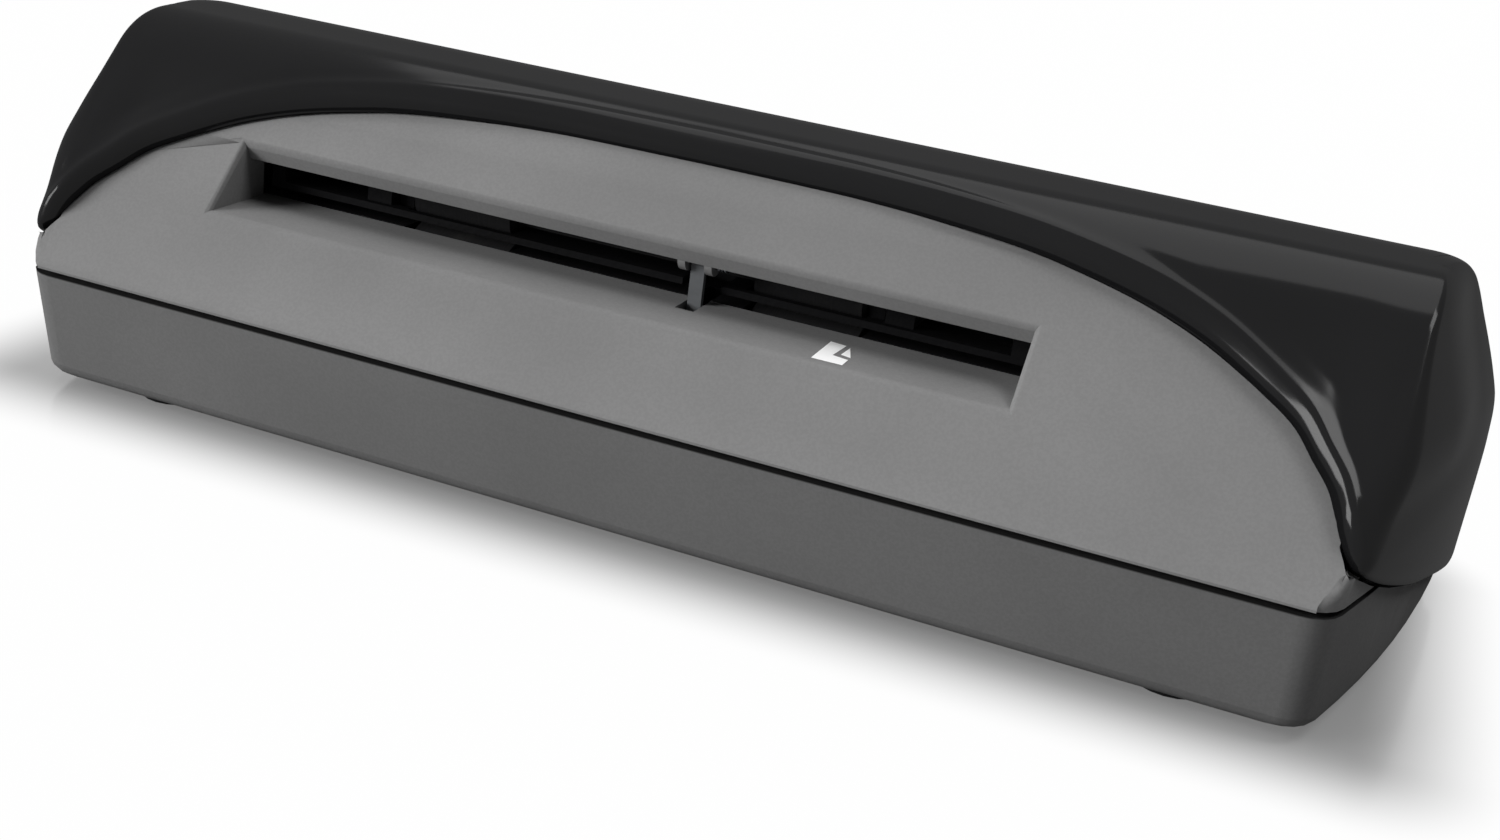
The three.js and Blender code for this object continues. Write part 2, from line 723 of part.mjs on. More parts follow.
function makeUpperCase() {
  const plan = planOutline(0, 0, 0, 0);
  const standing = column(plan, seam_high, crown_height);
  const panel = arcBlock(panel_tuck, -far, -case_wall, 0).intersect(standing);
  const cheeks = standing
    .subtract(column(planOutline(case_wall, cover_recess + end_wall, case_wall, 0),
      0, crown_height + overrun))
    .intersect(belowPanel(0))
    .intersect(block([-far, far], [front_y - overrun, front_y + cheek_depth], [0, crown_height]));
  const walls = [-1, 1].map((side) => block(
    side > 0 ? [inner_end_x - case_wall, inner_end_x] : [-inner_end_x, -inner_end_x + case_wall],
    [front_y, rear_wall_y(seam_high)], [seam_high, deck_bottom]));
  const rear_wall = prismX([
    [rear_wall_y(seam_high), seam_high], [rear_wall_y(slot_height), slot_height],
    [rear_wall_y(slot_height) - case_wall, slot_height], [rear_wall_y(seam_high) - case_wall, seam_high],
  ], -rear_wall_half_width, rear_wall_half_width);
  const throat_left = slot_left - throat_wall;
  const throat_right = slot_right + throat_wall;
  const floor_end = slot_y + slot_floor_depth;
  const floor = block([throat_left, throat_right], [slot_y - case_wall, floor_end],
    [deck_bottom, slot_height]);
  const sides = [[throat_left, slot_left], [slot_right, throat_right]].map((x) =>
    block(x, [slot_y - case_wall, slot_y + throat_depth], [deck_bottom, crown_height]));
  const [mouth_y, mouth_z] = panelPoint(slot_mouth, 0);
  const [back_y, back_z] = panelPoint(slot_mouth + lip_wall, -case_wall);
  const lip = prismX([
    [mouth_y, mouth_z], [mouth_y + slot_lip_depth, mouth_z - slot_lip_drop],
    [mouth_y + slot_lip_depth + lip_wall, mouth_z - slot_lip_drop], [back_y, back_z],
  ], throat_left, throat_right);
  const throat = join([floor, ...sides]).intersect(belowPanel(0));
  const lugs = lugPlaces().map((x) => join([
    rodX(lug_radius, x - lug_thickness / 2, x + lug_thickness / 2, lever_y, lever_z, round_sides),
    block([x - lug_thickness / 2, x + lug_thickness / 2], [lever_y - lug_radius, lever_y + lug_radius],
      [lever_z, lever_z + lug_root]),
  ]));
  const bosses = screwPlaces().map(([x, y]) => rodZ(boss_radius, seam_low + seat_gap, screw_boss_top, x, y));
  const lever_hole = block([lever_offset - lever_width / 2 - lever_side_gap,
    lever_offset + lever_width / 2 + lever_side_gap],
  [lever_y - lever_hole_front, floor_end + overrun], [0, slot_height + seat_gap]);
  const shell = join([panel, cheeks, ...walls, rear_wall, ...bosses]).intersect(belowPanel(0));
  const open = shell.subtract(slotCut());
  const lug_holes = rodX(lever_pin_radius + shaft_gap, lever_offset - far, lever_offset + far,
    lever_y, lever_z);
  const lug_block = join(lugs).intersect(belowPanel(-case_wall / 2)).subtract(lug_holes);
  const screw_holes = screwPlaces().map(([x, y]) =>
    rodZ(screw_radius + seat_gap, 0, screw_tip_z + running_gap, x, y));
  const gear_room = rodX(tipRadius(feed_teeth) + running_gap, gear_a_x - gear_side_gap,
    gear_a_x + gear_face + gear_side_gap, exit_y, shaft_z, tyre_sides);
  return cut(join([open, throat, lip, lug_block]),
    [lobeRecess(), lever_hole, gear_room, ...screw_holes]);
}

// The slot's mouth in the front panel, under its lip
function slotCut() {
  const [mouth_y, mouth_z] = panelPoint(slot_mouth, 0);
  const [outer_y, outer_z] = panelPoint(slot_mouth, overrun);
  const lip_z = mouth_z - slot_lip_drop;
  return prismX([
    [front_y, slot_height], [slot_y + throat_depth, slot_height], [slot_y + throat_depth, lip_z],
    [mouth_y + slot_lip_depth, lip_z], [mouth_y, mouth_z], [outer_y, outer_z], [front_y, outer_z],
  ], slot_left, slot_right);
}

function lugPlaces() {
  const apart = lever_width / 2 + lever_side_gap + lug_thickness / 2;
  return [lever_offset - apart, lever_offset + apart];
}

// Outer face of the rear wall at a height
function rear_wall_y(z) {
  return rear_y - cover_recess - (z - seam_height) / Math.tan(back_slope);
}

function tyrePlaces() {
  return [slot_offset - tyre_spread, slot_offset + tyre_spread];
}

function makeGuideDeck() {
  const plate = block([slot_left - deck_margin, slot_right + deck_margin],
    [slot_y + slot_floor_depth + running_gap, rear_wall_y(slot_height) - case_wall - deck_rear_gap],
    [deck_bottom, slot_height]);
  const half_chord = Math.sqrt(tyre_radius ** 2 - (deck_bottom - shaft_z) ** 2) + window_gap;
  const windows = [feed_y, exit_y].flatMap((y) => tyrePlaces().map((x) => block(
    [x - tyre_width / 2 - window_gap, x + tyre_width / 2 + window_gap], [y - half_chord, y + half_chord],
    [0, crown_height])));
  const glass_window = block(
    [slot_left + sensor_glass_end - seat_gap, slot_right - sensor_glass_end + seat_gap],
    [sensor_y - sensor_glass_width / 2 - running_gap, sensor_y + sensor_glass_width / 2 + running_gap],
    [0, crown_height]);
  const lever_notch = block([lever_offset - lever_width / 2 - lever_side_gap,
    lever_offset + lever_width / 2 + lever_side_gap],
  [front_y, lever_y + lever_reach - lever_notch_short], [0, crown_height]);
  return cut(plate, [...windows, glass_window, lever_notch]);
}

function makeSideFrame(x) {
  const plate = block([x, x + frame_plate],
    [front_y + frame_front_setback, rear_y - frame_rear_setback],
    [floor_top + seat_gap, deck_bottom - seat_gap]);
  return cut(plate, [feed_y, exit_y].map((y) =>
    rodX(bush_radius + seat_gap, x - overrun, x + frame_plate + overrun, y, shaft_z, round_sides)));
}

function makeBush(x, side, y) {
  const inner = side > 0 ? x - bush_flange - seat_gap : x + frame_plate + bush_flange + seat_gap;
  const face = side > 0 ? x - seat_gap : x + frame_plate + seat_gap;
  const outer = side > 0 ? x + frame_plate : x;
  return cut(join([
    rodX(bush_radius, Math.min(face, outer), Math.max(face, outer), y, shaft_z, round_sides),
    rodX(bush_flange_radius, Math.min(inner, face), Math.max(inner, face), y, shaft_z, round_sides),
  ]), [rodX(shaft_radius + shaft_gap, x - overrun, x + frame_plate + overrun, y, shaft_z, round_sides)]);
}

// Shaft with a wider seat under each rubber tyre
function makeRollerShaft(y) {
  const seats = tyrePlaces().map((x) => rodX(tyre_radius - tyre_wall - seat_gap,
    x - tyre_width / 2 - tyre_wall, x + tyre_width / 2 + tyre_wall, y, shaft_z, round_sides));
  return join([rodX(shaft_radius, frame_left_x - frame_plate - shaft_end, gear_a_x + gear_face + seat_gap,
    y, shaft_z, round_sides), ...seats]);
}

function makeTyre(x, y) {
  return rodX(tyre_radius, x - tyre_width / 2, x + tyre_width / 2, y, shaft_z, tyre_sides)
    .subtract(rodX(tyre_radius - tyre_wall, x - tyre_width, x + tyre_width, y, shaft_z, tyre_sides));
}

// Spur gear with straight-sided teeth, one of them centred on the phase angle
function makeGear(teeth, x, at, phase) {
  const root = pitchRadius(teeth) - gear_module * dedendum_share;
  const tip = tipRadius(teeth);
  const half_tooth = Math.PI / 2 / teeth * (1 - tooth_backlash_share);
  const middles = Array.from({ length: teeth }, (_, i) => phase + i * 2 * Math.PI / teeth);
  const points = middles.flatMap((middle) => [
    [root, middle - half_tooth * tooth_root_share], [tip, middle - half_tooth * tooth_tip_share],
    [tip, middle + half_tooth * tooth_tip_share], [root, middle + half_tooth * tooth_root_share],
  ]).map(([radius, angle]) => [at[0] + radius * Math.cos(angle), at[1] + radius * Math.sin(angle)]);
  return prismX(points, x, x + gear_face);
}

function pitchRadius(teeth) {
  return gear_module * teeth / 2;
}

function tipRadius(teeth) {
  return pitchRadius(teeth) + gear_module * addendum_share;
}

// Centre of a gear in mesh with another, in a direction
function meshCentre(at, teeth, other_teeth, direction) {
  const reach = pitchRadius(teeth) + pitchRadius(other_teeth);
  return [at[0] + reach * Math.cos(direction), at[1] + reach * Math.sin(direction)];
}

// Phase that puts a gear's gaps on the teeth of the gear it meshes with
function meshPhase(phase, teeth, other_teeth, direction) {
  const place = (direction - phase) * teeth / (2 * Math.PI);
  return direction + Math.PI - (1 / 2 - place) * 2 * Math.PI / other_teeth;
}

const feed_at = [feed_y, shaft_z];
const exit_at = [exit_y, shaft_z];
const train_reach = pitchRadius(feed_teeth) + pitchRadius(transfer_teeth);
const transfer_direction = -Math.acos(feed_spacing / 2 / train_reach);
const transfer_at = meshCentre(feed_at, feed_teeth, transfer_teeth, transfer_direction);
const compound_direction = THREE.MathUtils.degToRad(compound_bearing_deg);
const compound_at = meshCentre(exit_at, feed_teeth, compound_small_teeth, compound_direction);
const pinion_direction = THREE.MathUtils.degToRad(pinion_bearing_deg);
const pinion_at = meshCentre(compound_at, compound_large_teeth, pinion_teeth, pinion_direction);
const transfer_phase = meshPhase(0, feed_teeth, transfer_teeth, transfer_direction);
const exit_phase = meshPhase(transfer_phase, transfer_teeth, feed_teeth, -transfer_direction);
const compound_phase = meshPhase(exit_phase, feed_teeth, compound_small_teeth, compound_direction);
const pinion_phase = meshPhase(0, compound_large_teeth, pinion_teeth, pinion_direction);

function makeRollerGear(at, phase) {
  return makeGear(feed_teeth, gear_a_x, at, phase)
    .subtract(rodX(shaft_radius + seat_gap, gear_a_x - overrun, gear_b_x, ...at, round_sides));
}

function makeTransferGear() {
  return makeGear(transfer_teeth, gear_a_x, transfer_at, transfer_phase)
    .subtract(rodX(stud_radius + shaft_gap, gear_a_x - overrun, gear_b_x, ...transfer_at));
}

function makeCompoundGear() {
  const bridge = rodX(pitchRadius(compound_small_teeth) - gear_module * dedendum_share,
    gear_a_x, gear_b_x + gear_face, ...compound_at, round_sides);
  return join([makeGear(compound_small_teeth, gear_a_x, compound_at, compound_phase),
    makeGear(compound_large_teeth, gear_b_x, compound_at, 0), bridge])
    .subtract(rodX(stud_radius + shaft_gap, gear_a_x - overrun, gear_plate_x, ...compound_at));
}

function makePinion() {
  return join([makeGear(pinion_teeth, gear_b_x, pinion_at, pinion_phase),
    rodX(motor_shaft_radius, gear_b_x, gear_plate_x + gear_plate_thickness + motor_shaft_depth,
      ...pinion_at)]);
}

// Stud that a gear turns on, from the side frame to the gear plate
function makeStud(at, end) {
  return join([
    rodX(stud_radius, frame_right_x + frame_plate + seat_gap, end, ...at),
    rodX(stud_collar_radius, frame_right_x + frame_plate + seat_gap, gear_a_x - running_gap, ...at),
  ]);
}

function makeGearPlate() {
  const low = floor_top + seat_gap;
  const high = crown_height - gear_plate_top;
  const front = front_y + body_depth / 2 - gear_plate_front;
  const plate = prismX([
    [front, low], [gear_plate_rear, low], [gear_plate_rear, slot_height],
    [gear_plate_rear - gear_plate_top, high], [front, high],
  ], gear_plate_x, gear_plate_x + gear_plate_thickness);
  const posts = [[front + gear_post_radius, low + gear_post_radius],
    [gear_plate_rear - gear_post_radius, low + gear_post_radius]].map(([y, z]) =>
    rodX(gear_post_radius, frame_right_x + frame_plate + seat_gap, gear_plate_x + seat_gap, y, z));
  return cut(join([plate, ...posts]), [
    rodX(motor_boss_radius + seat_gap, gear_plate_x - overrun, gear_plate_x + overrun,
      ...pinion_at, round_sides),
    rodX(stud_radius + seat_gap, gear_plate_x - overrun, gear_plate_x + overrun, ...compound_at),
  ]);
}

function makeMotor() {
  const face = gear_plate_x + gear_plate_thickness + seat_gap;
  return cut(join([
    rodX(motor_radius, face, face + motor_length, ...pinion_at, round_sides),
    rodX(motor_boss_radius, face - motor_boss_height, face + seat_gap, ...pinion_at, round_sides),
  ]), [rodX(motor_shaft_radius + shaft_gap, face - overrun,
    gear_plate_x + gear_plate_thickness + motor_shaft_depth + shaft_gap, ...pinion_at)]);
}

// Round wire bent along a coil; the centre line is given for each turn's angle and share of the way
function coil(turns, wire, place_on_line) {
  const steps = turns * spring_steps_per_turn;
  const points = Array.from({ length: steps + 1 }, (_, i) =>
    place_on_line(i / spring_steps_per_turn * 2 * Math.PI, i / steps));
  const section = new THREE.Shape(Array.from({ length: spring_wire_sides }, (_, i) => {
    const angle = i / spring_wire_sides * 2 * Math.PI;
    return new THREE.Vector2(wire / 2 * Math.cos(angle), wire / 2 * Math.sin(angle));
  }));
  return toSolid(new THREE.ExtrudeGeometry(section,
    { steps, extrudePath: new THREE.CatmullRomCurve3(points), bevelEnabled: false }));
}

// Compression spring standing on Z
function makeSpring({ radius, wire, turns }, low, high, x, y) {
  return coil(turns, wire, (angle, share) => new THREE.Vector3(
    x + radius * Math.cos(angle), y + radius * Math.sin(angle),
    low + wire / 2 + (high - low - wire) * share));
}

function makeImageSensor() {
  const top = sensor_top_z;
  const body = block([slot_left + sensor_end_gap, slot_right - sensor_end_gap],
    [sensor_y - sensor_width / 2, sensor_y + sensor_width / 2], [top - sensor_height, top]);
  return body.subtract(block([slot_left + sensor_glass_end, slot_right - sensor_glass_end],
    [sensor_y - sensor_glass_width / 2 + sensor_ledge, sensor_y + sensor_glass_width / 2 - sensor_ledge],
    [top - sensor_channel_depth, top + overrun]));
}

function makeSensorGlass() {
  return block([slot_left + sensor_glass_end, slot_right - sensor_glass_end],
    [sensor_y - sensor_glass_width / 2, sensor_y + sensor_glass_width / 2],
    [sensor_top_z + seat_gap, sensor_top_z + seat_gap + sensor_glass_thickness]);
}

function makeMainBoard() {
  return block([board_left_x, board_right_x], [board_front_y, board_rear_y], [board_z, board_top - seat_gap]);
}

function makeUsbSocket() {
  const outer = block([usb_offset - usb_width / 2, usb_offset + usb_width / 2],
    [socket_face_y - usb_length, socket_face_y], [board_top, board_top + usb_height]);
  const mouth = block([usb_offset - usb_width / 2 + usb_wall, usb_offset + usb_width / 2 - usb_wall],
    [socket_face_y - usb_length + socket_back, socket_face_y + overrun],
    [board_top + usb_wall, board_top + usb_height - usb_wall]);
  const tongue = block([usb_offset - usb_tongue_width / 2, usb_offset + usb_tongue_width / 2],
    [socket_face_y - usb_length + usb_wall, socket_face_y - socket_back],
    [board_top + usb_height / 2 - usb_wall, board_top + usb_height / 2 + usb_wall]);
  return outer.subtract(mouth).add(tongue);
}

function makeRibbon() {
  const start_y = sensor_y + sensor_width / 2 + running_gap;
  const start_z = sensor_top_z - sensor_height + ribbon_rise;
  const curve = new THREE.CatmullRomCurve3([
    new THREE.Vector3(0, start_y + ribbon_thickness / 2, start_z),
    new THREE.Vector3(0, start_y + ribbon_bulge, start_z - ribbon_bulge),
    new THREE.Vector3(0, start_y + ribbon_bulge, (start_z + board_top) / 2),
    new THREE.Vector3(0, start_y + ribbon_thickness / 2, board_top + cable_socket_height / 2),
  ]);
  const middle = curve.getPoints(small_sides);
  const side = (offset) => middle.map((point, i) => {
    const tangent = curve.getTangent(i / small_sides);
    return [point.y - offset * tangent.z, point.z + offset * tangent.y];
  });
  return prismX([...side(ribbon_thickness / 2), ...side(-ribbon_thickness / 2).reverse()].reverse(),
    ribbon_offset - ribbon_width / 2, ribbon_offset + ribbon_width / 2);
}

function makeCableSocket() {
  const near = sensor_y + sensor_width / 2;
  return block([ribbon_offset - ribbon_width / 2 - usb_wall, ribbon_offset + ribbon_width / 2 + usb_wall],
    [near - cable_socket_depth, near - seat_gap], [board_top, board_top + cable_socket_height]);
}

function makeControllerChip() {
  return block([chip_offset - chip_size / 2, chip_offset + chip_size / 2],
    [sensor_y - chip_size / 2, sensor_y + chip_size / 2], [board_top, board_top + chip_height]);
}

function makeLightGate() {
  const inner = lever_width / 2 + lever_side_gap + gate_clear;
  const top = deck_bottom - seat_gap;
  const solid = block([lever_offset - inner - gate_prong, lever_offset + inner + gate_prong],
    [lever_y - gate_depth / 2, lever_y + gate_depth / 2], [top - gate_height, top]);
  return solid.subtract(block([lever_offset - inner, lever_offset + inner],
    [lever_y - gate_depth, lever_y + gate_depth], [top - gate_height + gate_base, top + overrun]));
}

function makeSensorLever() {
  const half = lever_width / 2;
  const [hub_low, hub_high] = [lever_offset - half, lever_offset + half];
  const arm = prismX([
    [lever_y - lever_thickness / 2, lever_z], [lever_y - lever_thickness / 2, lever_z - lever_reach],
    [lever_y + lever_thickness / 2, lever_z - lever_reach], [lever_y + lever_thickness / 2, lever_z],
  ], hub_low, hub_high);
  const pin_reach = half + lever_side_gap + lug_thickness + lever_pin_end;
  return join([arm, rodX(lever_hub_radius, hub_low, hub_high, lever_y, lever_z),
    rodX(lever_pin_radius, lever_offset - pin_reach, lever_offset + pin_reach, lever_y, lever_z)]);
}

// Torsion spring round the lever's pin, outside the right lug
function makeLeverSpring() {
  const start = lever_offset + lever_width / 2 + lever_side_gap + lug_thickness + lever_spring_wire;
  const length = lever_spring_wire * lever_spring_pitch_share * lever_spring_turns;
  return coil(lever_spring_turns, lever_spring_wire, (angle, share) => new THREE.Vector3(
    start + length * share, lever_y + lever_spring_radius * Math.cos(angle),
    lever_z + lever_spring_radius * Math.sin(angle)));
}

function makeCoverFrame() {
  const left = slot_left + frame_end_gap;
  const right = slot_right - frame_end_gap;
  const outline = [
    [cover_frame_front_y, guide_bottom_z], [cover_frame_rear_y, guide_bottom_z],
    [cover_frame_rear_y, frame_shoulder_z], [cover_frame_crown_rear, frame_top_z],
    [cover_frame_crown_front, frame_top_z], [cover_frame_front_y, frame_shoulder_z],
  ];
  const ends = [[left, left + cover_frame_side], [right - cover_frame_side, right]]
    .map((x) => prismX(outline, ...x));
  const top = block([left, right], [cover_frame_crown_front, cover_frame_crown_rear],
    [frame_top_z - cover_frame_plate, frame_top_z]);
  const guide = block([left, right], [cover_frame_front_y, cover_frame_rear_y],
    [guide_bottom_z, guide_bottom_z + guide_plate]);
  const stops = [feed_y, exit_y].flatMap((y) => [-1, 1].map((side) => {
    const depth = [y - carrier_width / 2, y + carrier_width / 2];
    const reach = (from) => [from, carrier_half + running_gap + carrier_arm]
      .map((x) => slot_offset + side * x).sort((a, b) => a - b);
    return join([
      block(reach(carrier_half + running_gap), depth, [guide_bottom_z, frame_top_z - cover_frame_plate / 2]),
      block(reach(carrier_half - ledge_depth), depth, [guide_bottom_z, carrier_bar_z - seat_gap]),
    ]);
  })).map((stop) => stop.intersect(prismX(outline, left, right)));
  const roller_gap = pinch_radius + window_gap / 2;
  const windows = [feed_y, exit_y].flatMap((y) => [
    ...tyrePlaces().map((x) => block([x - tyre_width / 2 - window_gap, x + tyre_width / 2 + window_gap],
      [y - roller_gap, y + roller_gap], [0, guide_bottom_z + guide_plate + seat_gap])),
    ...[-1, 1].map((side) => {
      const arm = slot_offset + side * (carrier_half - carrier_overhang - carrier_arm / 2);
      const reach = carrier_arm / 2 + running_gap;
      return block([arm - reach, arm + reach], [y - arm_half - window_gap, y + arm_half + window_gap],
        [0, guide_bottom_z + guide_plate + seat_gap]);
    }),
  ]);
  const lever_notch = block([lever_offset - lever_notch_half, lever_offset + lever_notch_half],
    [cover_frame_front_y - overrun, feed_y + pinch_axle_radius],
    [0, guide_bottom_z + guide_plate + seat_gap]);
  const stake_holes = postPlaces().map(([x, y]) =>
    rodZ(stake_radius + seat_gap, guide_bottom_z + guide_plate + seat_gap, crown_height, x, y));
  const room = prismX(coverProfile(cover_wall + cover_frame_clear), left, right);
  return cut(join([...ends, top, guide, ...stops]).intersect(room),
    [...windows, lever_notch, ...stake_holes]);
}

// Bar that carries a pinch roller's axle in two arms
function makeCarrier(y) {
  const left = slot_offset - carrier_half;
  const right = slot_offset + carrier_half;
  const bar = block([left, right], [y - carrier_width / 2, y + carrier_width / 2],
    [carrier_bar_z, carrier_bar_z + carrier_height]);
  const arms = [left + carrier_overhang, right - carrier_overhang - carrier_arm].map((x) =>
    block([x, x + carrier_arm], [y - arm_half, y + arm_half],
      [pinch_z - arm_half, carrier_bar_z + seat_gap]));
  return join([bar, ...arms]).subtract(
    rodX(pinch_axle_radius + shaft_gap, left - overrun, right + overrun, y, pinch_z));
}

function makePinchRoller(y) {
  const reach = carrier_half - carrier_overhang - seat_gap;
  return join([
    rodX(pinch_axle_radius, slot_offset - reach, slot_offset + reach, y, pinch_z),
    ...tyrePlaces().map((x) =>
      rodX(pinch_radius, x - tyre_width / 2, x + tyre_width / 2, y, pinch_z, round_sides)),
  ]);
}

function makeBackingStrip() {
  return block([slot_left + frame_end_gap, slot_right - frame_end_gap],
    [sensor_y - backing_width / 2, sensor_y + backing_width / 2],
    [slot_height + backing_gap, guide_bottom_z - seat_gap]);
}

function makeFoot([x, y]) {
  return join([
    rodZ(foot_radius, 0, foot_height + foot_recess - seat_gap, x, y, round_sides),
  ]);
}

function makeCaseScrew([x, y]) {
  const head_top = foot_height + screw_sink - seat_gap;
  return join([
    rodZ(screw_head_radius, head_top - screw_head_height, head_top, x, y),
    rodZ(screw_radius, head_top - screw_head_height / 2, screw_tip_z, x, y),
  ]);
}

place('lower_case', makeLowerCase(), finishes.base_grey);
place('upper_case', makeUpperCase(), finishes.panel_grey);
place('top_cover', makeTopCover(), finishes.gloss_black);
[-1, 1].forEach((side) => place(`hinge_pin_${side < 0 ? 'left' : 'right'}`,
  endRod(side, hinge_pin_radius, hinge_pin_start, hinge_pin_end, hinge_y, hinge_height), finishes.steel));
place('guide_deck', makeGuideDeck(), finishes.inner_black);
place('side_frame_left', makeSideFrame(frame_left_x - frame_plate), finishes.zinc);
place('side_frame_right', makeSideFrame(frame_right_x), finishes.zinc);
for (const [name, y, at, phase] of [['feed', feed_y, feed_at, 0], ['exit', exit_y, exit_at, exit_phase]]) {
  place(`${name}_bush_left`, makeBush(frame_left_x - frame_plate, -1, y), finishes.brass);
  place(`${name}_bush_right`, makeBush(frame_right_x, 1, y), finishes.brass);
  place(`${name}_roller_shaft`, makeRollerShaft(y), finishes.steel);
  tyrePlaces().forEach((x, i) =>
    place(`${name}_tyre_${i ? 'right' : 'left'}`, makeTyre(x, y), finishes.rubber));
  place(`${name}_gear`, makeRollerGear(at, phase), finishes.gear_white);
}
place('transfer_gear', makeTransferGear(), finishes.gear_white);
place('transfer_stud', makeStud(transfer_at, gear_a_x + gear_face + seat_gap), finishes.steel);
place('reduction_gear', makeCompoundGear(), finishes.gear_white);
place('reduction_stud', makeStud(compound_at, gear_plate_x + gear_plate_thickness), finishes.steel);
place('motor_pinion', makePinion(), finishes.brass);
place('gear_plate', makeGearPlate(), finishes.zinc);
place('motor', makeMotor(), finishes.zinc);
place('image_sensor', makeImageSensor(), finishes.inner_black);
place('sensor_glass', makeSensorGlass(), finishes.glass);
[-1, 1].forEach((side) => place(`sensor_spring_${side < 0 ? 'left' : 'right'}`,
  makeSpring(sensor_spring, board_top, sensor_top_z - sensor_height - seat_gap,
    slot_offset + side * sensor_spring_spread, sensor_y), finishes.steel));
place('main_board', makeMainBoard(), finishes.board_green);
place('controller_chip', makeControllerChip(), finishes.inner_black);
place('usb_socket', makeUsbSocket(), finishes.steel);
place('cable_socket', makeCableSocket(), finishes.white);
place('sensor_cable', makeRibbon(), finishes.ribbon);
place('light_gate', makeLightGate(), finishes.inner_black);
place('card_lever', makeSensorLever(), finishes.inner_black);
place('lever_spring', makeLeverSpring(), finishes.steel);
place('cover_frame', makeCoverFrame(), finishes.inner_black);
place('backing_strip', makeBackingStrip(), finishes.white);
for (const [name, y, inward] of [['front', feed_y, 1], ['rear', exit_y, -1]]) {
  place(`${name}_pinch_carrier`, makeCarrier(y), finishes.inner_black);
  place(`${name}_pinch_roller`, makePinchRoller(y), finishes.roller_grey);
  tyrePlaces().forEach((x, i) => place(`${name}_pinch_spring_${i ? 'right' : 'left'}`,
    makeSpring(pinch_spring, carrier_bar_z + carrier_height + seat_gap,
      frame_top_z - cover_frame_plate - seat_gap, x, y + inward * pinch_spring_offset), finishes.steel));
}
footPlaces().forEach((at, i) => place(`foot_${i + 1}`, makeFoot(at), finishes.rubber));
screwPlaces().forEach((at, i) => place(`case_screw_${i + 1}`, makeCaseScrew(at), finishes.zinc));

export default scanner;
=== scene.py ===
"""Looks of a sheet-fed card scanner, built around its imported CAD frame.

The case halves are dressed copies of their CAD solids with softened edges. The cover, its posts,
the springs and the page sign are surfaces worked out on grids. Sizes are in millimetres in the
fields, and are turned to metres where a mesh is made. Colours are written as screen values from
0 to 255, and noise scales count cells in a metre.
"""

import json
import logging
import math
from dataclasses import dataclass, field
from enum import Enum

import bmesh
import bpy
import numpy as np
from mathutils import Matrix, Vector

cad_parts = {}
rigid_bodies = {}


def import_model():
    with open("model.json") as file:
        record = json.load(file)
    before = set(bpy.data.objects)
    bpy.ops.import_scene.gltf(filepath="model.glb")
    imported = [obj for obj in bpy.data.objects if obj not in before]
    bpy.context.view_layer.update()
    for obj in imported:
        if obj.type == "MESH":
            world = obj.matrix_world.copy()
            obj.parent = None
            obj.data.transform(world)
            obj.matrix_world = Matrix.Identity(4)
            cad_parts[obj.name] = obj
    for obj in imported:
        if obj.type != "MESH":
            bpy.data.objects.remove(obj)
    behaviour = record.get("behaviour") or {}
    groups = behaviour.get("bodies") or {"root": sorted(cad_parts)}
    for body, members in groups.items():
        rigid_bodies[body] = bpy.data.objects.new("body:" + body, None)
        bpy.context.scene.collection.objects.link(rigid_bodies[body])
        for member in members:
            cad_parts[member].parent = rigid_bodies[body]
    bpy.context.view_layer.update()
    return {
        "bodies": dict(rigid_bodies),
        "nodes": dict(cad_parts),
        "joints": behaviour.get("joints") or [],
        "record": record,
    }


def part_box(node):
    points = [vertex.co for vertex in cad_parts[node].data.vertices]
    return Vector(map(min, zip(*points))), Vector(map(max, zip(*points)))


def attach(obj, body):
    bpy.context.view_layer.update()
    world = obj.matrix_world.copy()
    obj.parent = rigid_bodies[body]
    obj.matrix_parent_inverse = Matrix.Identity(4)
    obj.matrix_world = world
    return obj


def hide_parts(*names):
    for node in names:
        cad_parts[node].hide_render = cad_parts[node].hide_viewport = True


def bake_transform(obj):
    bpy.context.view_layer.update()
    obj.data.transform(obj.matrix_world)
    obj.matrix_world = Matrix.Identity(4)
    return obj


MM = 0.001
WELD = 0.004  # millimetres under which a seam or a pole closes
FINE_WELD = 0.002  # the same for thin wire and for loose CAD triangles
LOG = logging.getLogger("scanner")
Array = np.ndarray
Screen = tuple[float, float, float]
Rgba = tuple[float, float, float, float]
Span = tuple[float, float]


# Surface mathematics


def smooth_step(value: Array, low: float, high: float) -> Array:
    """Cubic ramp from 0 at low to 1 at high: 3t^2 - 2t^3 of the clamped share t."""
    t = np.clip((np.asarray(value, float) - low) / (high - low), 0.0, 1.0)
    return t * t * (3.0 - 2.0 * t)


def monotone(x: Array, knots: Array, values: Array) -> Array:
    """Reads a smooth curve through knots without overshoot.

    Each span is a cubic Hermite whose end slopes are the harmonic mean of the two neighbouring
    chords, or zero where the chords change sign.

    Args:
        x: places to read the curve at.
        knots: increasing places of the known values.
        values: the known values.

    Returns:
        The curve at x, held constant past both ends.
    """
    knots, values = np.asarray(knots, float), np.asarray(values, float)
    width = np.diff(knots)
    chord = np.diff(values) / width
    slope = np.zeros(len(knots))
    same = chord[:-1] * chord[1:] > 0
    slope[1:-1][same] = 2.0 / (1.0 / chord[:-1][same] + 1.0 / chord[1:][same])
    slope[0], slope[-1] = chord[0], chord[-1]
    at = np.clip(np.asarray(x, float), knots[0], knots[-1])
    i = np.clip(np.searchsorted(knots, at, side="right") - 1, 0, len(width) - 1)
    t = (at - knots[i]) / width[i]
    return (
        (2 * t**3 - 3 * t**2 + 1) * values[i]
        + (t**3 - 2 * t**2 + t) * width[i] * slope[i]
        + (3 * t**2 - 2 * t**3) * values[i + 1]
        + (t**3 - t**2) * width[i] * slope[i + 1]
    )


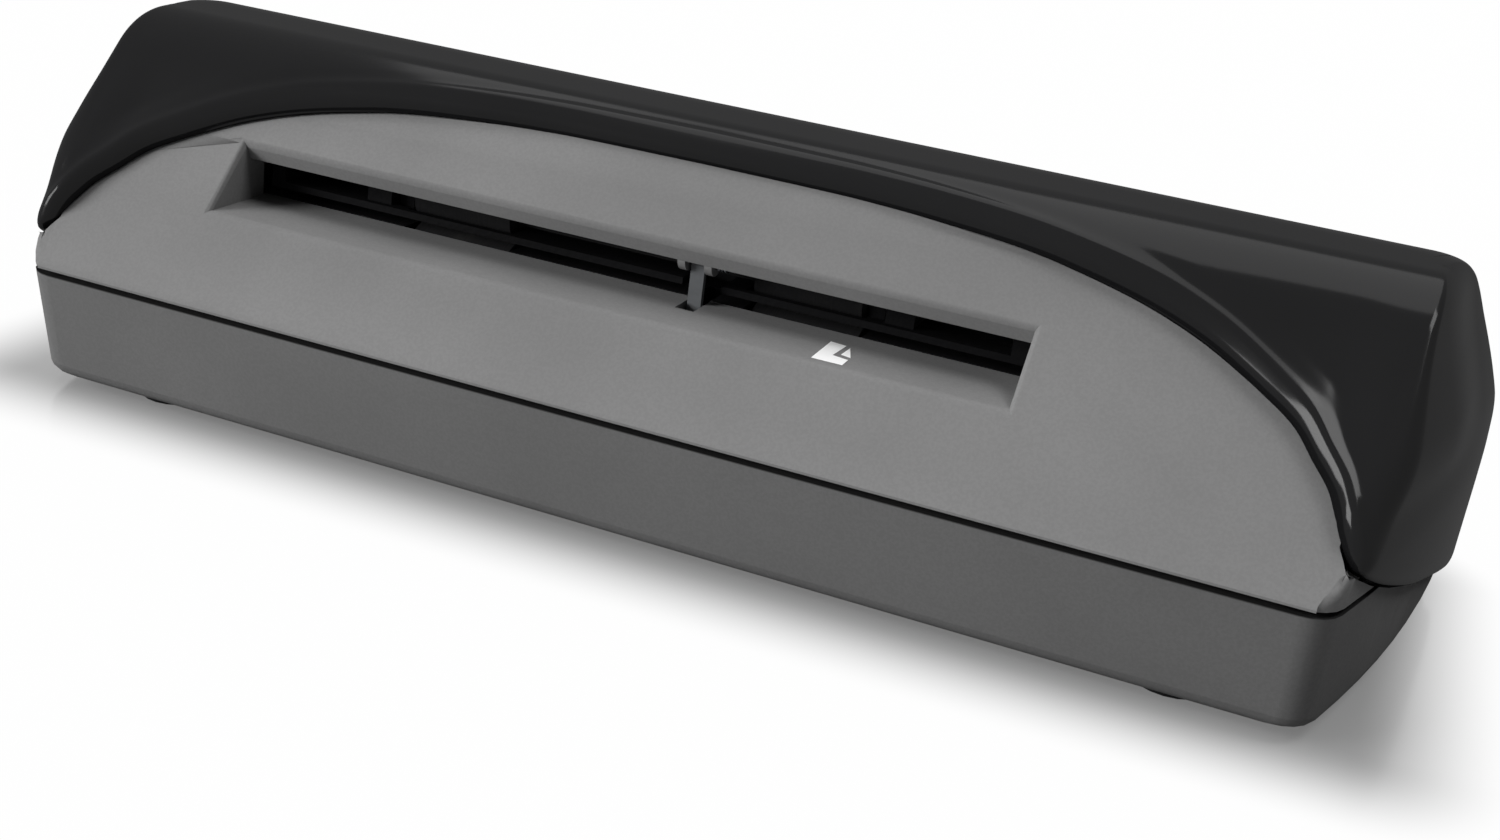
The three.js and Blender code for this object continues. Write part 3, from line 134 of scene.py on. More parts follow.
def grid_faces(rows: int, columns: int, close_columns: bool) -> Array:
    """Lists the four corners of each cell of a grid of points.

    Args:
        rows: number of point rows.
        columns: number of point columns.
        close_columns: whether the last column joins the first.

    Returns:
        An array of quads, one row of four indices for each cell.
    """
    row = np.arange(rows - 1)[:, None]
    column = np.arange(columns if close_columns else columns - 1)[None, :]
    after = (column + 1) % columns
    quad = np.stack(
        [
            row * columns + column,
            row * columns + after,
            (row + 1) * columns + after,
            (row + 1) * columns + column,
        ],
        -1,
    )
    return quad.reshape(-1, 4)


def mesh_object(name: str, points: Array, faces: Array, weld: float = 0.0) -> bpy.types.Object:
    """Makes an object from points in millimetres, with smooth shading.

    Args:
        name: the piece's name.
        points: an array of places, in millimetres, shaped (n, 3).
        faces: an array of quads or triangles.
        weld: distance under which points are merged, in millimetres, or 0 for none.

    Returns:
        The new object, with its faces pointing outward.
    """
    mesh = bpy.data.meshes.new(name)
    mesh.from_pydata((points * MM).tolist(), [], faces.tolist())
    work = bmesh.new()
    work.from_mesh(mesh)
    if weld:
        bmesh.ops.remove_doubles(work, verts=work.verts, dist=weld * MM)
        bmesh.ops.dissolve_degenerate(work, dist=weld * MM, edges=work.edges)
    bmesh.ops.recalc_face_normals(work, faces=work.faces)
    work.to_mesh(mesh)
    work.free()
    mesh.polygons.foreach_set("use_smooth", [True] * len(mesh.polygons))
    item = bpy.data.objects.new(name, mesh)
    bpy.context.scene.collection.objects.link(item)
    return item


# Nodes and finishes


class Recipe:
    """One material under construction, with short calls for its nodes."""

    INPUTS = {
        "colour": "Base Color", "roughness": "Roughness", "normal": "Normal", "metal": "Metallic",
        "ior": "IOR", "specular": "Specular IOR Level", "clear": "Transmission Weight",
        "coat": "Coat Weight", "coat_roughness": "Coat Roughness", "coat_ior": "Coat IOR",
        "subsurface": "Subsurface Weight", "sheen": "Sheen Weight",
    }

    def __init__(self, name: str) -> None:
        """Starts a material that holds only a Principled shader and its output.

        Args:
            name: the material's name.
        """
        self.material = bpy.data.materials.new(name)
        self.material.use_nodes = True
        self.tree = self.material.node_tree
        self.shader = self.tree.nodes["Principled BSDF"]
        self.place = self.tree.nodes.new("ShaderNodeTexCoord").outputs["Object"]

    def node(self, kind: str, inputs: dict | None = None, **settings: object) -> bpy.types.Node:
        """Adds a node.

        Args:
            kind: the node's type, without its ShaderNode prefix.
            inputs: values or sockets for its inputs, by name or number.
            settings: properties of the node.

        Returns:
            The new node.
        """
        made = self.tree.nodes.new("ShaderNode" + kind)
        for key, value in settings.items():
            setattr(made, key, value)
        for key, value in (inputs or {}).items():
            self.feed(made.inputs[key], value)
        return made

    def feed(self, socket: bpy.types.NodeSocket, value: object) -> None:
        """Links a socket to an input, or sets the input's own value.

        Args:
            socket: the input.
            value: an output socket, or a plain value.
        """
        if isinstance(value, bpy.types.NodeSocket):
            self.tree.links.new(value, socket)
        else:
            socket.default_value = value

    def noise(
        self, scale: float, detail: float = 3.0, place: object = None
    ) -> bpy.types.NodeSocket:
        """Gives noise with so many cells in a metre."""
        inputs = {"Vector": place or self.place, "Scale": scale, "Detail": detail}
        return self.node("TexNoise", inputs).outputs["Fac"]

    def cells(self, scale: float, **inputs: object) -> bpy.types.NodeSocket:
        """Gives the distance from the middles of scattered cells."""
        inputs = {"Vector": self.place, "Scale": scale, **inputs}
        return self.node("TexVoronoi", inputs).outputs["Distance"]

    def stretched(self, scale: tuple[float, float, float]) -> bpy.types.NodeSocket:
        """Gives the object's coordinates, scaled on each axis."""
        return self.node("Mapping", {"Vector": self.place, "Scale": scale}).outputs["Vector"]

    def part(self, axis: str) -> bpy.types.NodeSocket:
        """Gives one of the object's coordinates, in metres."""
        return self.node("SeparateXYZ", {"Vector": self.place}).outputs[axis]

    def ramp(
        self, value: object, low: float, high: float, first: float, last: float
    ) -> bpy.types.NodeSocket:
        """Maps low..high of a value onto first..last along a smooth step, held at both ends.

        Args:
            value: the value to map.
            low: value up to which it gives first.
            high: value from which on it gives last.
            first: what it gives at the low end.
            last: what it gives at the high end.

        Returns:
            The mapped value.
        """
        inputs = {0: value, 1: low, 2: high, 3: first, 4: last}
        return self.node("MapRange", inputs, interpolation_type="SMOOTHSTEP").outputs[0]

    def sum(self, first: object, second: object, how: str = "ADD") -> bpy.types.NodeSocket:
        """Combines two values with a Math node."""
        return self.node("Math", {0: first, 1: second}, operation=how).outputs[0]

    def blend(self, share: object, first: object, second: object) -> bpy.types.NodeSocket:
        """Mixes two colours by a share: a Mix node keeps its colours in sockets 6, 7 and 2."""
        inputs = {0: share, 6: first, 7: second}
        return self.node("Mix", inputs, data_type="RGBA").outputs[2]

    def mottle(
        self, value: object, span: Span, colour: Screen, shades: Span
    ) -> bpy.types.NodeSocket:
        """Swings a colour between two shades of itself.

        Args:
            value: what the colour follows, such as a noise.
            span: values at which the two shades are reached.
            colour: the colour, as screen values.
            shades: factors that lighten or darken it.

        Returns:
            The mottled colour.
        """
        share = self.ramp(value, *span, 0, 1)
        return self.blend(share, shade(colour, shades[0]), shade(colour, shades[1]))

    def bump(self, height: object, depth: float, after: object = None) -> bpy.types.NodeSocket:
        """Turns a height into a bump.

        Args:
            height: the height's socket.
            depth: depth of the bump, in millimetres.
            after: the normal of a bump that lies under this one.

        Returns:
            The bumped normal.
        """
        inputs = {"Height": height, "Distance": depth * MM, "Strength": 1.0}
        if after is not None:
            inputs["Normal"] = after
        return self.node("Bump", inputs).outputs["Normal"]

    def finish(self, **values: object) -> bpy.types.Material:
        """Sets the shader's inputs.

        Args:
            values: values or sockets, under this class's short names for the inputs.

        Returns:
            The finished material.
        """
        for key, value in values.items():
            self.feed(self.shader.inputs[self.INPUTS[key]], value)
        return self.material


def rgba(colour: Screen) -> Rgba:
    """Turns screen values into a linear colour.

    The screen's curve is c / 12.92 for a share c up to 0.04045, else ((c + 0.055) / 1.055)^2.4.

    Args:
        colour: red, green and blue from 0 to 255.

    Returns:
        The linear colour, with an alpha of 1.
    """
    share = [c / 255 for c in colour]
    linear = [c / 12.92 if c <= 0.04045 else ((c + 0.055) / 1.055) ** 2.4 for c in share]
    return (*linear, 1.0)


def shade(colour: Screen, factor: float) -> Rgba:
    """Gives a linear colour, lightened or darkened by a factor."""
    return (*[min(1.0, c * factor) for c in rgba(colour)[:3]], 1.0)


@dataclass(frozen=True)
class MouldedPlastic:
    """Fine-grained dull case plastic, with painted shade along the join of the halves where asked
    for.

    The shade's spans are heights in metres, over which the painted shadow line fades in and out
    again.
    """

    name: str
    colour: Screen
    roughness: float = 0.5
    grain: float = 2600.0
    depth: float = 0.012
    painted_seam_shadow: bool = False
    seam_foot: Span = (0.01660, 0.01690)
    seam_head: Span = (0.01750, 0.01780)
    seam_shade: float = 0.08

    def build(self) -> bpy.types.Material:
        """Builds the material: mottled colour, two sizes of grain, uneven gloss and painted shade
        where asked.

        Returns:
            The new material.
        """
        r = Recipe(self.name)
        cloud = r.noise(34.0, 5.0)
        grain = r.noise(self.grain, 2.0)
        colour = r.mottle(cloud, (0.3, 0.7), self.colour, (0.95, 1.05))
        colour = r.blend(r.ramp(grain, 0.35, 0.65, 0.0, 0.16), colour, shade(self.colour, 0.6))
        if self.painted_seam_shadow:
            # Painted shade: the colour darkens in a band at the height where the halves meet,
            # standing in for the shadow in the groove between them.
            height = r.part("Z")
            below = r.ramp(height, *self.seam_foot, 0, 1)
            above = r.ramp(height, *self.seam_head, 1, 0)
            groove = r.sum(below, above, "MULTIPLY")
            colour = r.blend(groove, colour, shade(self.colour, self.seam_shade))
        rough = r.sum(r.ramp(cloud, 0.25, 0.75, -0.05, 0.05), self.roughness)
        normal = r.bump(r.noise(self.grain * 0.35, 2.0), self.depth * 1.2)
        normal = r.bump(grain, self.depth, normal)
        return r.finish(colour=colour, roughness=rough, normal=normal, specular=0.0)


@dataclass(frozen=True)
class GlossPlastic:
    """Polished black plastic: a deep body under a thin clear layer that mirrors most at a slant."""

    name: str
    colour: Screen
    roughness: float = 0.3
    layer: float = 0.08
    layer_ior: float = 2.2
    layer_roughness: float = 0.13

    def build(self) -> bpy.types.Material:
        """Builds the material: near-black colour, haze, wiping streaks and a very low ripple.

        Returns:
            The new material.
        """
        r = Recipe(self.name)
        haze = r.noise(22.0, 6.0)
        streak = r.noise(1.0, 4.0, r.stretched((18.0, 160.0, 160.0)))
        colour = r.mottle(haze, (0.3, 0.75), self.colour, (0.85, 1.2))
        smear = r.sum(r.ramp(haze, 0.4, 0.8, 0.0, 0.06), r.ramp(streak, 0.5, 0.8, 0.0, 0.04))
        return r.finish(
            colour=colour, roughness=r.sum(smear, self.roughness), ior=1.45, specular=0.0,
            normal=r.bump(r.noise(240.0, 2.0), 0.0025), coat=self.layer,
            coat_roughness=self.layer_roughness, coat_ior=self.layer_ior,
        )


@dataclass(frozen=True)
class MattPlastic:
    """Black or coloured inner plastic with a coarse eroded texture."""

    name: str
    colour: Screen
    roughness: float = 0.62
    depth: float = 0.03
    gloss: float = 0.35

    def build(self) -> bpy.types.Material:
        """Builds the material: eroded grain, flow marks and dull gloss.

        Returns:
            The new material.
        """
        r = Recipe(self.name)
        flow = r.noise(1.0, 5.0, r.stretched((30.0, 120.0, 120.0)))
        colour = r.mottle(flow, (0.3, 0.7), self.colour, (0.8, 1.25))
        rough = r.sum(r.ramp(flow, 0.3, 0.7, -0.08, 0.08), self.roughness)
        return r.finish(
            colour=colour, roughness=rough, normal=r.bump(r.cells(1500.0), self.depth), ior=1.46,
            specular=self.gloss,
        )


@dataclass(frozen=True)
class Rubber:
    """Ground rubber with fine scratches round it and pale dust."""

    name: str
    colour: Screen
    lint: Screen = (62, 61, 58)

    def build(self) -> bpy.types.Material:
        """Builds the material: grinding lines along X, pores and a dusting of lint.

        Returns:
            The new material.
        """
        r = Recipe(self.name)
        lines = r.noise(1.0, 3.0, r.stretched((5200.0, 90.0, 90.0)))
        pores = r.noise(1900.0, 3.0)
        dust = r.noise(160.0, 6.0)
        colour = r.blend(r.ramp(dust, 0.55, 0.78, 0, 0.3), rgba(self.colour), rgba(self.lint))
        normal = r.bump(pores, 0.03, r.bump(lines, 0.05))
        rough = r.ramp(dust, 0.3, 0.7, 0.72, 0.92)
        return r.finish(colour=colour, roughness=rough, normal=normal, specular=0.12, sheen=0.04)


class Working(Enum):
    """How a metal's surface was worked, as the stretch of its marks on each axis."""

    ROLLED = (30.0, 900.0, 900.0)
    TURNED = (4200.0, 60.0, 60.0)
    DRAWN = (60.0, 2400.0, 2400.0)
    SPANGLED = (420.0, 420.0, 420.0)


@dataclass(frozen=True)
class Metal:
    """Bare or plated metal with the marks of its making."""

    name: str
    colour: Screen
    working: Working
    roughness: float = 0.32

    def build(self) -> bpy.types.Material:
        """Builds the material: tool marks or spangle in colour, gloss and bump, and dull spots.

        Returns:
            The new material.
        """
        r = Recipe(self.name)
        place = r.stretched(self.working.value)
        if self.working is Working.SPANGLED:
            marks = r.node("TexVoronoi", {"Vector": place, "Scale": 1.0}).outputs["Color"]
            marks = r.node("SeparateXYZ", {"Vector": marks}).outputs["X"]
        else:
            marks = r.noise(1.0, 4.0, place)
        spots = r.noise(140.0, 6.0)
        colour = r.mottle(marks, (0.2, 0.8), self.colour, (0.8, 1.12))
        colour = r.blend(r.ramp(spots, 0.6, 0.8, 0, 0.5), colour, shade(self.colour, 0.5))
        rough = r.sum(r.ramp(marks, 0.2, 0.8, -0.08, 0.1), self.roughness)
        return r.finish(colour=colour, roughness=rough, normal=r.bump(marks, 0.012), metal=1.0)


@dataclass(frozen=True)
class GearNylon:
    """Milky gear plastic that lets a little light in."""

    name: str
    colour: Screen
    grease: Screen = (172, 160, 128)

    def build(self) -> bpy.types.Material:
        """Builds the material: cloudy tint, grease sheen and fine mould marks.

        Returns:
            The new material.
        """
        r = Recipe(self.name)
        film = r.noise(260.0, 3.0)
        colour = r.mottle(r.noise(90.0, 5.0), (0.3, 0.7), self.colour, (0.9, 1.03))
        colour = r.blend(r.ramp(film, 0.6, 0.85, 0, 0.3), colour, rgba(self.grease))
        rough = r.ramp(film, 0.35, 0.7, 0.5, 0.26)
        normal = r.bump(r.noise(1400.0, 2.0), 0.012)
        return r.finish(colour=colour, roughness=rough, normal=normal, subsurface=0.12)


@dataclass(frozen=True)
class ClearGlass:
    """Cover glass with a faint green cast and wiping marks."""

    name: str
    cast: Screen = (214, 232, 226)
    wiped: Screen = (228, 240, 236)

    def build(self) -> bpy.types.Material:
        """Builds the material: clear body, faint cast and streaked gloss.

        Returns:
            The new material.
        """
        r = Recipe(self.name)
        wipe = r.noise(1.0, 4.0, r.stretched((24.0, 420.0, 60.0)))
        colour = r.blend(r.ramp(wipe, 0.3, 0.7, 0, 1), rgba(self.cast), rgba(self.wiped))
        rough = r.ramp(wipe, 0.45, 0.8, 0.02, 0.12)
        return r.finish(colour=colour, roughness=rough, clear=0.9, ior=1.5)


@dataclass(frozen=True)
class CircuitBoard:
    """Green solder mask over copper tracks, with pale pads in rows."""

    name: str
    mask: Screen = (18, 66, 38)
    track: Screen = (38, 104, 58)
    pad: Screen = (196, 190, 170)

    def build(self) -> bpy.types.Material:
        """Builds the material: tracks from a bent wave, pads from near-even cells, glossy mask.

        Returns:
            The new material.
        """
        r = Recipe(self.name)
        wave = r.node(
            "TexWave",
            {
                "Vector": r.stretched((1.0, 0.55, 1.0)), "Scale": 150.0, "Distortion": 9.0,
                "Detail": 1.0, "Detail Scale": 0.25,
            },
            wave_type="BANDS", bands_direction="DIAGONAL",
        ).outputs["Fac"]
        track = r.ramp(wave, 0.62, 0.7, 0, 1)
        pad = r.ramp(r.cells(260.0, Randomness=0.15), 0.16, 0.2, 1, 0)
        rows = r.ramp(r.noise(70.0, 0.0), 0.55, 0.57, 0, 1)
        pad = r.sum(pad, rows, "MULTIPLY")
        colour = r.blend(pad, r.blend(track, rgba(self.mask), rgba(self.track)), rgba(self.pad))
        return r.finish(
            colour=colour, roughness=r.ramp(pad, 0, 1, 0.28, 0.4),
            normal=r.bump(r.sum(track, pad), 0.03), metal=r.sum(pad, 0.7, "MULTIPLY"),
        )


@dataclass(frozen=True)
class FlatCable:
    """White flat cable with its conductors showing through as stripes.

    The marked edge's span is a pair of places on X in metres, over which its colour fades out.
    """

    name: str
    web: Screen = (226, 224, 214)
    conductor: Screen = (176, 172, 160)
    mark: Screen = (50, 84, 150)
    marked_edge: Span = (-0.0354, -0.0352)

    def build(self) -> bpy.types.Material:
        """Builds the material: stripes across X, one marked edge and a soft gloss.

        Returns:
            The new material.
        """
        r = Recipe(self.name)
        inputs = {"Vector": r.place, "Scale": 320.0}
        wave = r.node("TexWave", inputs, bands_direction="X").outputs["Fac"]
        colour = r.blend(r.ramp(wave, 0.3, 0.7, 0, 1), rgba(self.web), rgba(self.conductor))
        colour = r.blend(r.ramp(r.part("X"), *self.marked_edge, 1, 0), colour, rgba(self.mark))
        return r.finish(colour=colour, roughness=0.38, normal=r.bump(wave, 0.05))


@dataclass(frozen=True)
class PaintedWhite:
    """Even white paint or print with a fine stipple."""

    name: str
    colour: Screen = (238, 238, 234)
    worn: Screen = (188, 186, 178)

    def build(self) -> bpy.types.Material:
        """Builds the material: stippled white with faint card marks.

        Returns:
            The new material.
        """
        r = Recipe(self.name)
        marks = r.noise(1.0, 5.0, r.stretched((420.0, 30.0, 60.0)))
        colour = r.blend(r.ramp(marks, 0.6, 0.85, 0, 0.35), rgba(self.colour), rgba(self.worn))
        return r.finish(colour=colour, roughness=0.5, normal=r.bump(r.noise(2200.0, 2.0), 0.01))


class Palette:
    """The finishes of the whole scanner, built once each when first asked for."""

    RECIPES = {
        "panel_grey": MouldedPlastic("panel_grey_plastic", (121, 121, 121), 0.5),
        "base_grey": MouldedPlastic("base_grey_plastic", (107, 107, 107), 0.52, painted_seam_shadow=True),
        "gloss_black": GlossPlastic("gloss_black_plastic", (16, 16, 17)),
        "inner_black": MattPlastic("inner_black_plastic", (12, 12, 13), gloss=0.06),
        "rubber": Rubber("ground_rubber", (20, 20, 21)),
        "roller_grey": MattPlastic("roller_grey_plastic", (92, 94, 96), 0.5, 0.015, 0.2),
        "steel": Metal("turned_steel", (186, 189, 193), Working.TURNED, 0.26),
        "spring_steel": Metal("drawn_spring_steel", (170, 174, 180), Working.DRAWN, 0.24),
        "zinc": Metal("zinc_plate", (168, 172, 176), Working.SPANGLED, 0.4),
        "tin": Metal("rolled_tin_plate", (188, 190, 192), Working.ROLLED, 0.3),
        "brass": Metal("turned_brass", (190, 158, 84), Working.TURNED, 0.3),
        "gear_white": GearNylon("gear_nylon", (226, 223, 212)),
        "glass": ClearGlass("sensor_cover_glass"),
        "white": PaintedWhite("white_backing"),
        "ink": PaintedWhite("white_print", (246, 246, 246)),
        "socket_white": MattPlastic("socket_white_plastic", (226, 222, 208), 0.5, 0.02),
        "board_green": CircuitBoard("circuit_board"),
        "ribbon": FlatCable("flat_cable"),
    }

    def __init__(self) -> None:
        """Starts with no material built."""
        self.made: dict[str, bpy.types.Material] = {}

    def get(self, name: str) -> bpy.types.Material:
        """Gives the finish of that name, building it when it is first asked for.

        Args:
            name: a name in the table of finishes.

        Returns:
            The finish's material.
        """
        if name not in self.made:
            self.made[name] = self.RECIPES[name].build()
        return self.made[name]

    def dress(self, item: bpy.types.Object, name: str) -> bpy.types.Object:
        """Puts one finish on a piece or a node, in the place of what it had.

        Args:
            item: the piece or the node.
            name: the finish's name.

        Returns:
            The same item.
        """
        if not item.data.materials:
            item.data.materials.append(None)
        for slot in item.material_slots:
            slot.link = "OBJECT"
            slot.material = self.get(name)
        return item


# Sub-assemblies


@dataclass
class ScannerForm:
    """The lines that the case and the cover share, in millimetres."""

    depth: float = 66.0
    half_length: float = 92.0
    bow_radius: float = 250.0
    flare_deg: float = 12.1
    slope_deg: float = 47.0
    back_deg: float = 64.0
    slot_y: float = -24.0
    slot_z: float = 27.5
    seam_z: float = 17.2
    crown: float = 47.8
    hinge_y: float = 24.0
    hinge_z: float = 12.0
    ear_radius: float = 8.6
    arc_half: float = 83.5
    arc_rise: float = 22.4
    arc_shares: tuple = (
        (0, 1), (0.204, 0.993), (0.3, 0.975), (0.383, 0.946), (0.479, 0.9), (0.569, 0.83),
        (0.659, 0.741), (0.7485, 0.609), (0.843, 0.393), (0.889, 0.268), (0.922, 0.116),
        (0.9485, -0.009), (0.971, -0.19), (0.987, -0.308), (0.9965, -0.39), (1.01, -0.54),
        (1.03, -0.9), (1.08, -2.2),
    )

    @property
    def slope(self) -> float:
        """Angle of the front panel, in radians."""
        return math.radians(self.slope_deg)

    @property
    def bow_centre(self) -> tuple[float, float]:
        """Centre of the right end's arc, seen from above.

        Returns:
            Its place along X and along Y.
        """
        flare = math.radians(self.flare_deg)
        x = self.half_length - self.bow_radius * math.cos(flare)
        return x, self.bow_radius * math.sin(flare)

    def panel_height(self, up: Array, out: Array) -> Array:
        """Height of a panel point: slot height + up sin(slope) + out cos(slope)."""
        return self.slot_z + up * math.sin(self.slope) + out * math.cos(self.slope)

    def panel_y(self, up: Array, out: Array) -> Array:
        """Depth of a panel point: slot depth + up cos(slope) - out sin(slope)."""
        return self.slot_y + up * math.cos(self.slope) - out * math.sin(self.slope)

    def up_panel(self, y: Array, z: Array) -> Array:
        """How far up the panel a point stands: the sum of y cos(slope) and z sin(slope)."""
        return (y - self.slot_y) * math.cos(self.slope) + (z - self.slot_z) * math.sin(self.slope)

    def off_panel(self, y: Array, z: Array) -> Array:
        """How far a point stands out of the panel's plane: z cos(slope) less y sin(slope)."""
        return (z - self.slot_z) * math.cos(self.slope) - (y - self.slot_y) * math.sin(self.slope)

    def arc_up(self, x: Array) -> Array:
        """How far up the panel the cover's arc stands at a place along the case."""
        shares = np.array(self.arc_shares)
        return monotone(np.abs(x) / self.arc_half, shares[:, 0], shares[:, 1]) * self.arc_rise


class Stretch(Enum):
    """The five stretches of half the cover's outline, seen from above, front to back."""

    FRONT = 0
    FRONT_CORNER = 1
    END = 2
    BACK_CORNER = 3
    BACK = 4


@dataclass
class CoverShell:
    """Glossy black cover: a sloped front with a rolled rim over the arc, a round ridge, a steep
    back and two leaning ends that come down as lobes to the hinge.

    The lean's shares give the ends' lean against the height, and the edge's shares the lobe's
    height against the depth. The corners' pairs give a radius at a height. Spans are the two ends
    of a smooth step, but the hollow's tip and top are a place and the width of the fade before it.
    """

    form: ScannerForm = field(default_factory=ScannerForm)
    proud: float = 2.4
    side_proud: float = 1.2
    wall: float = 2.1
    inner_round: float = 0.6
    front_share: float = 0.2266
    back_share: float = 0.52
    lean_shares: tuple = (
        (0.063, 0), (0.335, 0), (0.44, 0.001), (0.502, 0.0055), (0.586, 0.0172), (0.669, 0.0397),
        (0.753, 0.067), (0.837, 0.0962), (0.9, 0.115), (0.941, 0.1266), (0.973, 0.1412),
        (0.99, 0.1548), (0.997, 0.165), (1, 0.182),
    )
    swell: float = 1.3
    swell_along: Span = (40.0, 86.0)
    swell_ahead: Span = (-12.0, 8.0)
    swell_heights: Span = (25.0, 33.0)
    end_press_from: float = 96.0
    end_press: float = 0.25
    edge_shares: tuple = (
        (0, 1), (0.07, 0.884), (0.175, 0.737), (0.309, 0.589), (0.447, 0.458), (0.579, 0.358),
        (1, 0),
    )
    nose_round: float = 8.0
    edge_front: float = 23.2
    edge_rear: float = 4.2
    front_corner: tuple = ((0, 7.0), (22, 7.0), (28, 5.6), (34, 3.4), (40, 1.7), (47.8, 1.0))
    back_corner: tuple = ((0, 6.0), (36, 6.0), (44, 4.0), (47.8, 3.0))
    rear_edge: float = 20.5
    exit_edge: float = 32.3
    exit_left: float = 63.4
    exit_right: float = 46.6
    ear_end_deg: float = 35.0
    ear_side: float = 91.3
    notch_shares: Span = (0.548, 0.556)
    notch_middle: float = 0.552
    facing_bend: float = 0.9
    facing_full: float = 0.45
    roll_front: float = 2.0
    roll_end: float = 0.9
    roll_width: float = 2.3
    bead_place: tuple = ((0, 3.6), (45, 3.1), (62, 2.7), (72, 2.3), (80, 1.8), (84, 1.5))
    bead_height: float = 0.22
    bead_width: float = 0.75
    groove_depth: float = 0.1
    groove_width: float = 1.0
    groove_place: float = 1.7
    hollow_depth: float = 0.95
    hollow_along: Span = (56.0, 76.0)
    hollow_tip: Span = (83.0, 6.0)
    hollow_top: Span = (24.0, 18.0)
    hollow_rise: Span = (0.6, 5.0)
    counts: tuple = (112, 14, 46, 34, 72)
    front_crowding: float = 1.4
    edge_rows: tuple = (
        0, 0.08, 0.22, 0.45, 0.75, 1.1, 1.5, 1.9, 2.3, 2.7,
        3.1, 3.5, 3.9, 4.3, 4.7, 5.1, 5.6, 6.1, 6.6, 7.2,
    )
    edge_rows_most: float = 0.72
    steepest_edge: float = 0.93
    field_rows: int = 50
    column_steps: int = 360
    ridge_steps: int = 40
    normal_reach: float = 0.05
    edge_passes: int = 90
    edge_start: float = 24.0
    edge_lowest: float = 3.0
    crown_gap: float = 0.4
    edge_samples: int = 4
    inner_rows: tuple = (0, 3, 6, 9, 13, 16)
    inner_from: int = 19
    inner_step: int = 4

    def __post_init__(self) -> None:
        """Works out the ridge's two rounds and where the columns stand on the outline."""
        form = self.form
        self.base_y = form.panel_y(0.0, self.proud)
        self.base_z = form.panel_height(0.0, self.proud)
        self.face_y = -form.depth / 2 - self.side_proud
        self.back_y0 = form.depth / 2 + self.side_proud
        back_slope = math.radians(form.back_deg)
        crown_front = self.base_y + (form.crown - self.base_z) / math.tan(form.slope)
        crown_back = self.back_y0 - (form.crown - form.seam_z) / math.tan(back_slope)
        width = crown_back - crown_front
        self.front_round = self.front_share * width / math.tan(form.slope / 2)
        self.back_round = self.back_share * width / math.tan(back_slope / 2)
        self.front_centre = crown_front + self.front_share * width
        self.back_centre = crown_back - self.back_share * width
        self.back_slope = back_slope
        kinds, shares = [], []
        for stretch, count in zip(Stretch, self.counts):
            share = np.linspace(0, 1, count, endpoint=stretch is Stretch.BACK)
            if stretch is Stretch.FRONT:
                share = 1 - (1 - share) ** self.front_crowding
            if stretch is Stretch.BACK:
                share = 1 - share
            kinds.append(np.full(count, stretch.value))
            shares.append(share)
        self.kind, self.share = np.concatenate(kinds), np.concatenate(shares)

    def front_y(self, z: Array) -> Array:
        """Depth of the front at a height: the slope line, then the ridge's front round.

        Args:
            z: heights.

        Returns:
            The depths at those heights.
        """
        form = self.form
        slope = np.maximum(self.base_y + (z - self.base_z) / math.tan(form.slope), self.face_y)
        rise = z - (form.crown - self.front_round)
        arc = self.front_centre - np.sqrt(np.maximum(self.front_round**2 - rise**2, 0))
        return np.where(z > form.crown - self.front_round * (1 - math.cos(form.slope)), arc, slope)

    def back_y(self, z: Array) -> Array:
        """Depth of the back at a height: upright, the steep line, then the ridge's back round.

        Args:
            z: heights.

        Returns:
            The depths at those heights.
        """
        form, steep = self.form, self.back_slope
        line = self.back_y0 - np.maximum(z - form.seam_z, 0) / math.tan(steep)
        rise = z - (form.crown - self.back_round)
        arc = self.back_centre + np.sqrt(np.maximum(self.back_round**2 - rise**2, 0))
        return np.where(z > form.crown - self.back_round * (1 - math.cos(steep)), arc, line)

    def lean(self, z: Array) -> Array:
        """How far the ends lean in at a height, smooth in the root of the depth below the crown.

        Args:
            z: heights.

        Returns:
            The leans at those heights.
        """
        shares = np.array(self.lean_shares)[::-1]
        depth = np.sqrt(np.maximum(self.form.crown * (1 - shares[:, 0]), 0))
        below = np.sqrt(np.maximum(self.form.crown - z, 0))
        return monotone(below, depth, shares[:, 1] * self.form.crown) - self.side_proud

    def notch_turn(self, z: Array, centre: Array, radius: Array) -> Array:
        """Turn of the back corner at which the ear stops: on its circle, then on its slant.

        Args:
            z: heights.
            centre: depth of the corner's centre at those heights.
            radius: the corner's radius there.

        Returns:
            The furthest turn that a column of the corner may have.
        """
        form = self.form
        turn = math.radians(self.ear_end_deg)
        top_y = form.hinge_y + form.ear_radius * math.cos(turn)
        top_z = form.hinge_z + form.ear_radius * math.sin(turn)
        end_y = form.hinge_y + form.ear_radius
        rise = np.clip(z - form.hinge_z, 0, form.ear_radius)
        circle = form.hinge_y + np.sqrt(form.ear_radius**2 - rise**2)
        slant = top_y + (z - top_z) * (end_y - top_y) / (self.rear_edge - top_z)
        limit = np.where(z < top_z, circle, slant)
        turn_at = np.arcsin(np.clip((limit - centre) / radius, -1, 1))
        return np.where((z > form.hinge_z) & (z < self.rear_edge), turn_at, math.pi / 2)

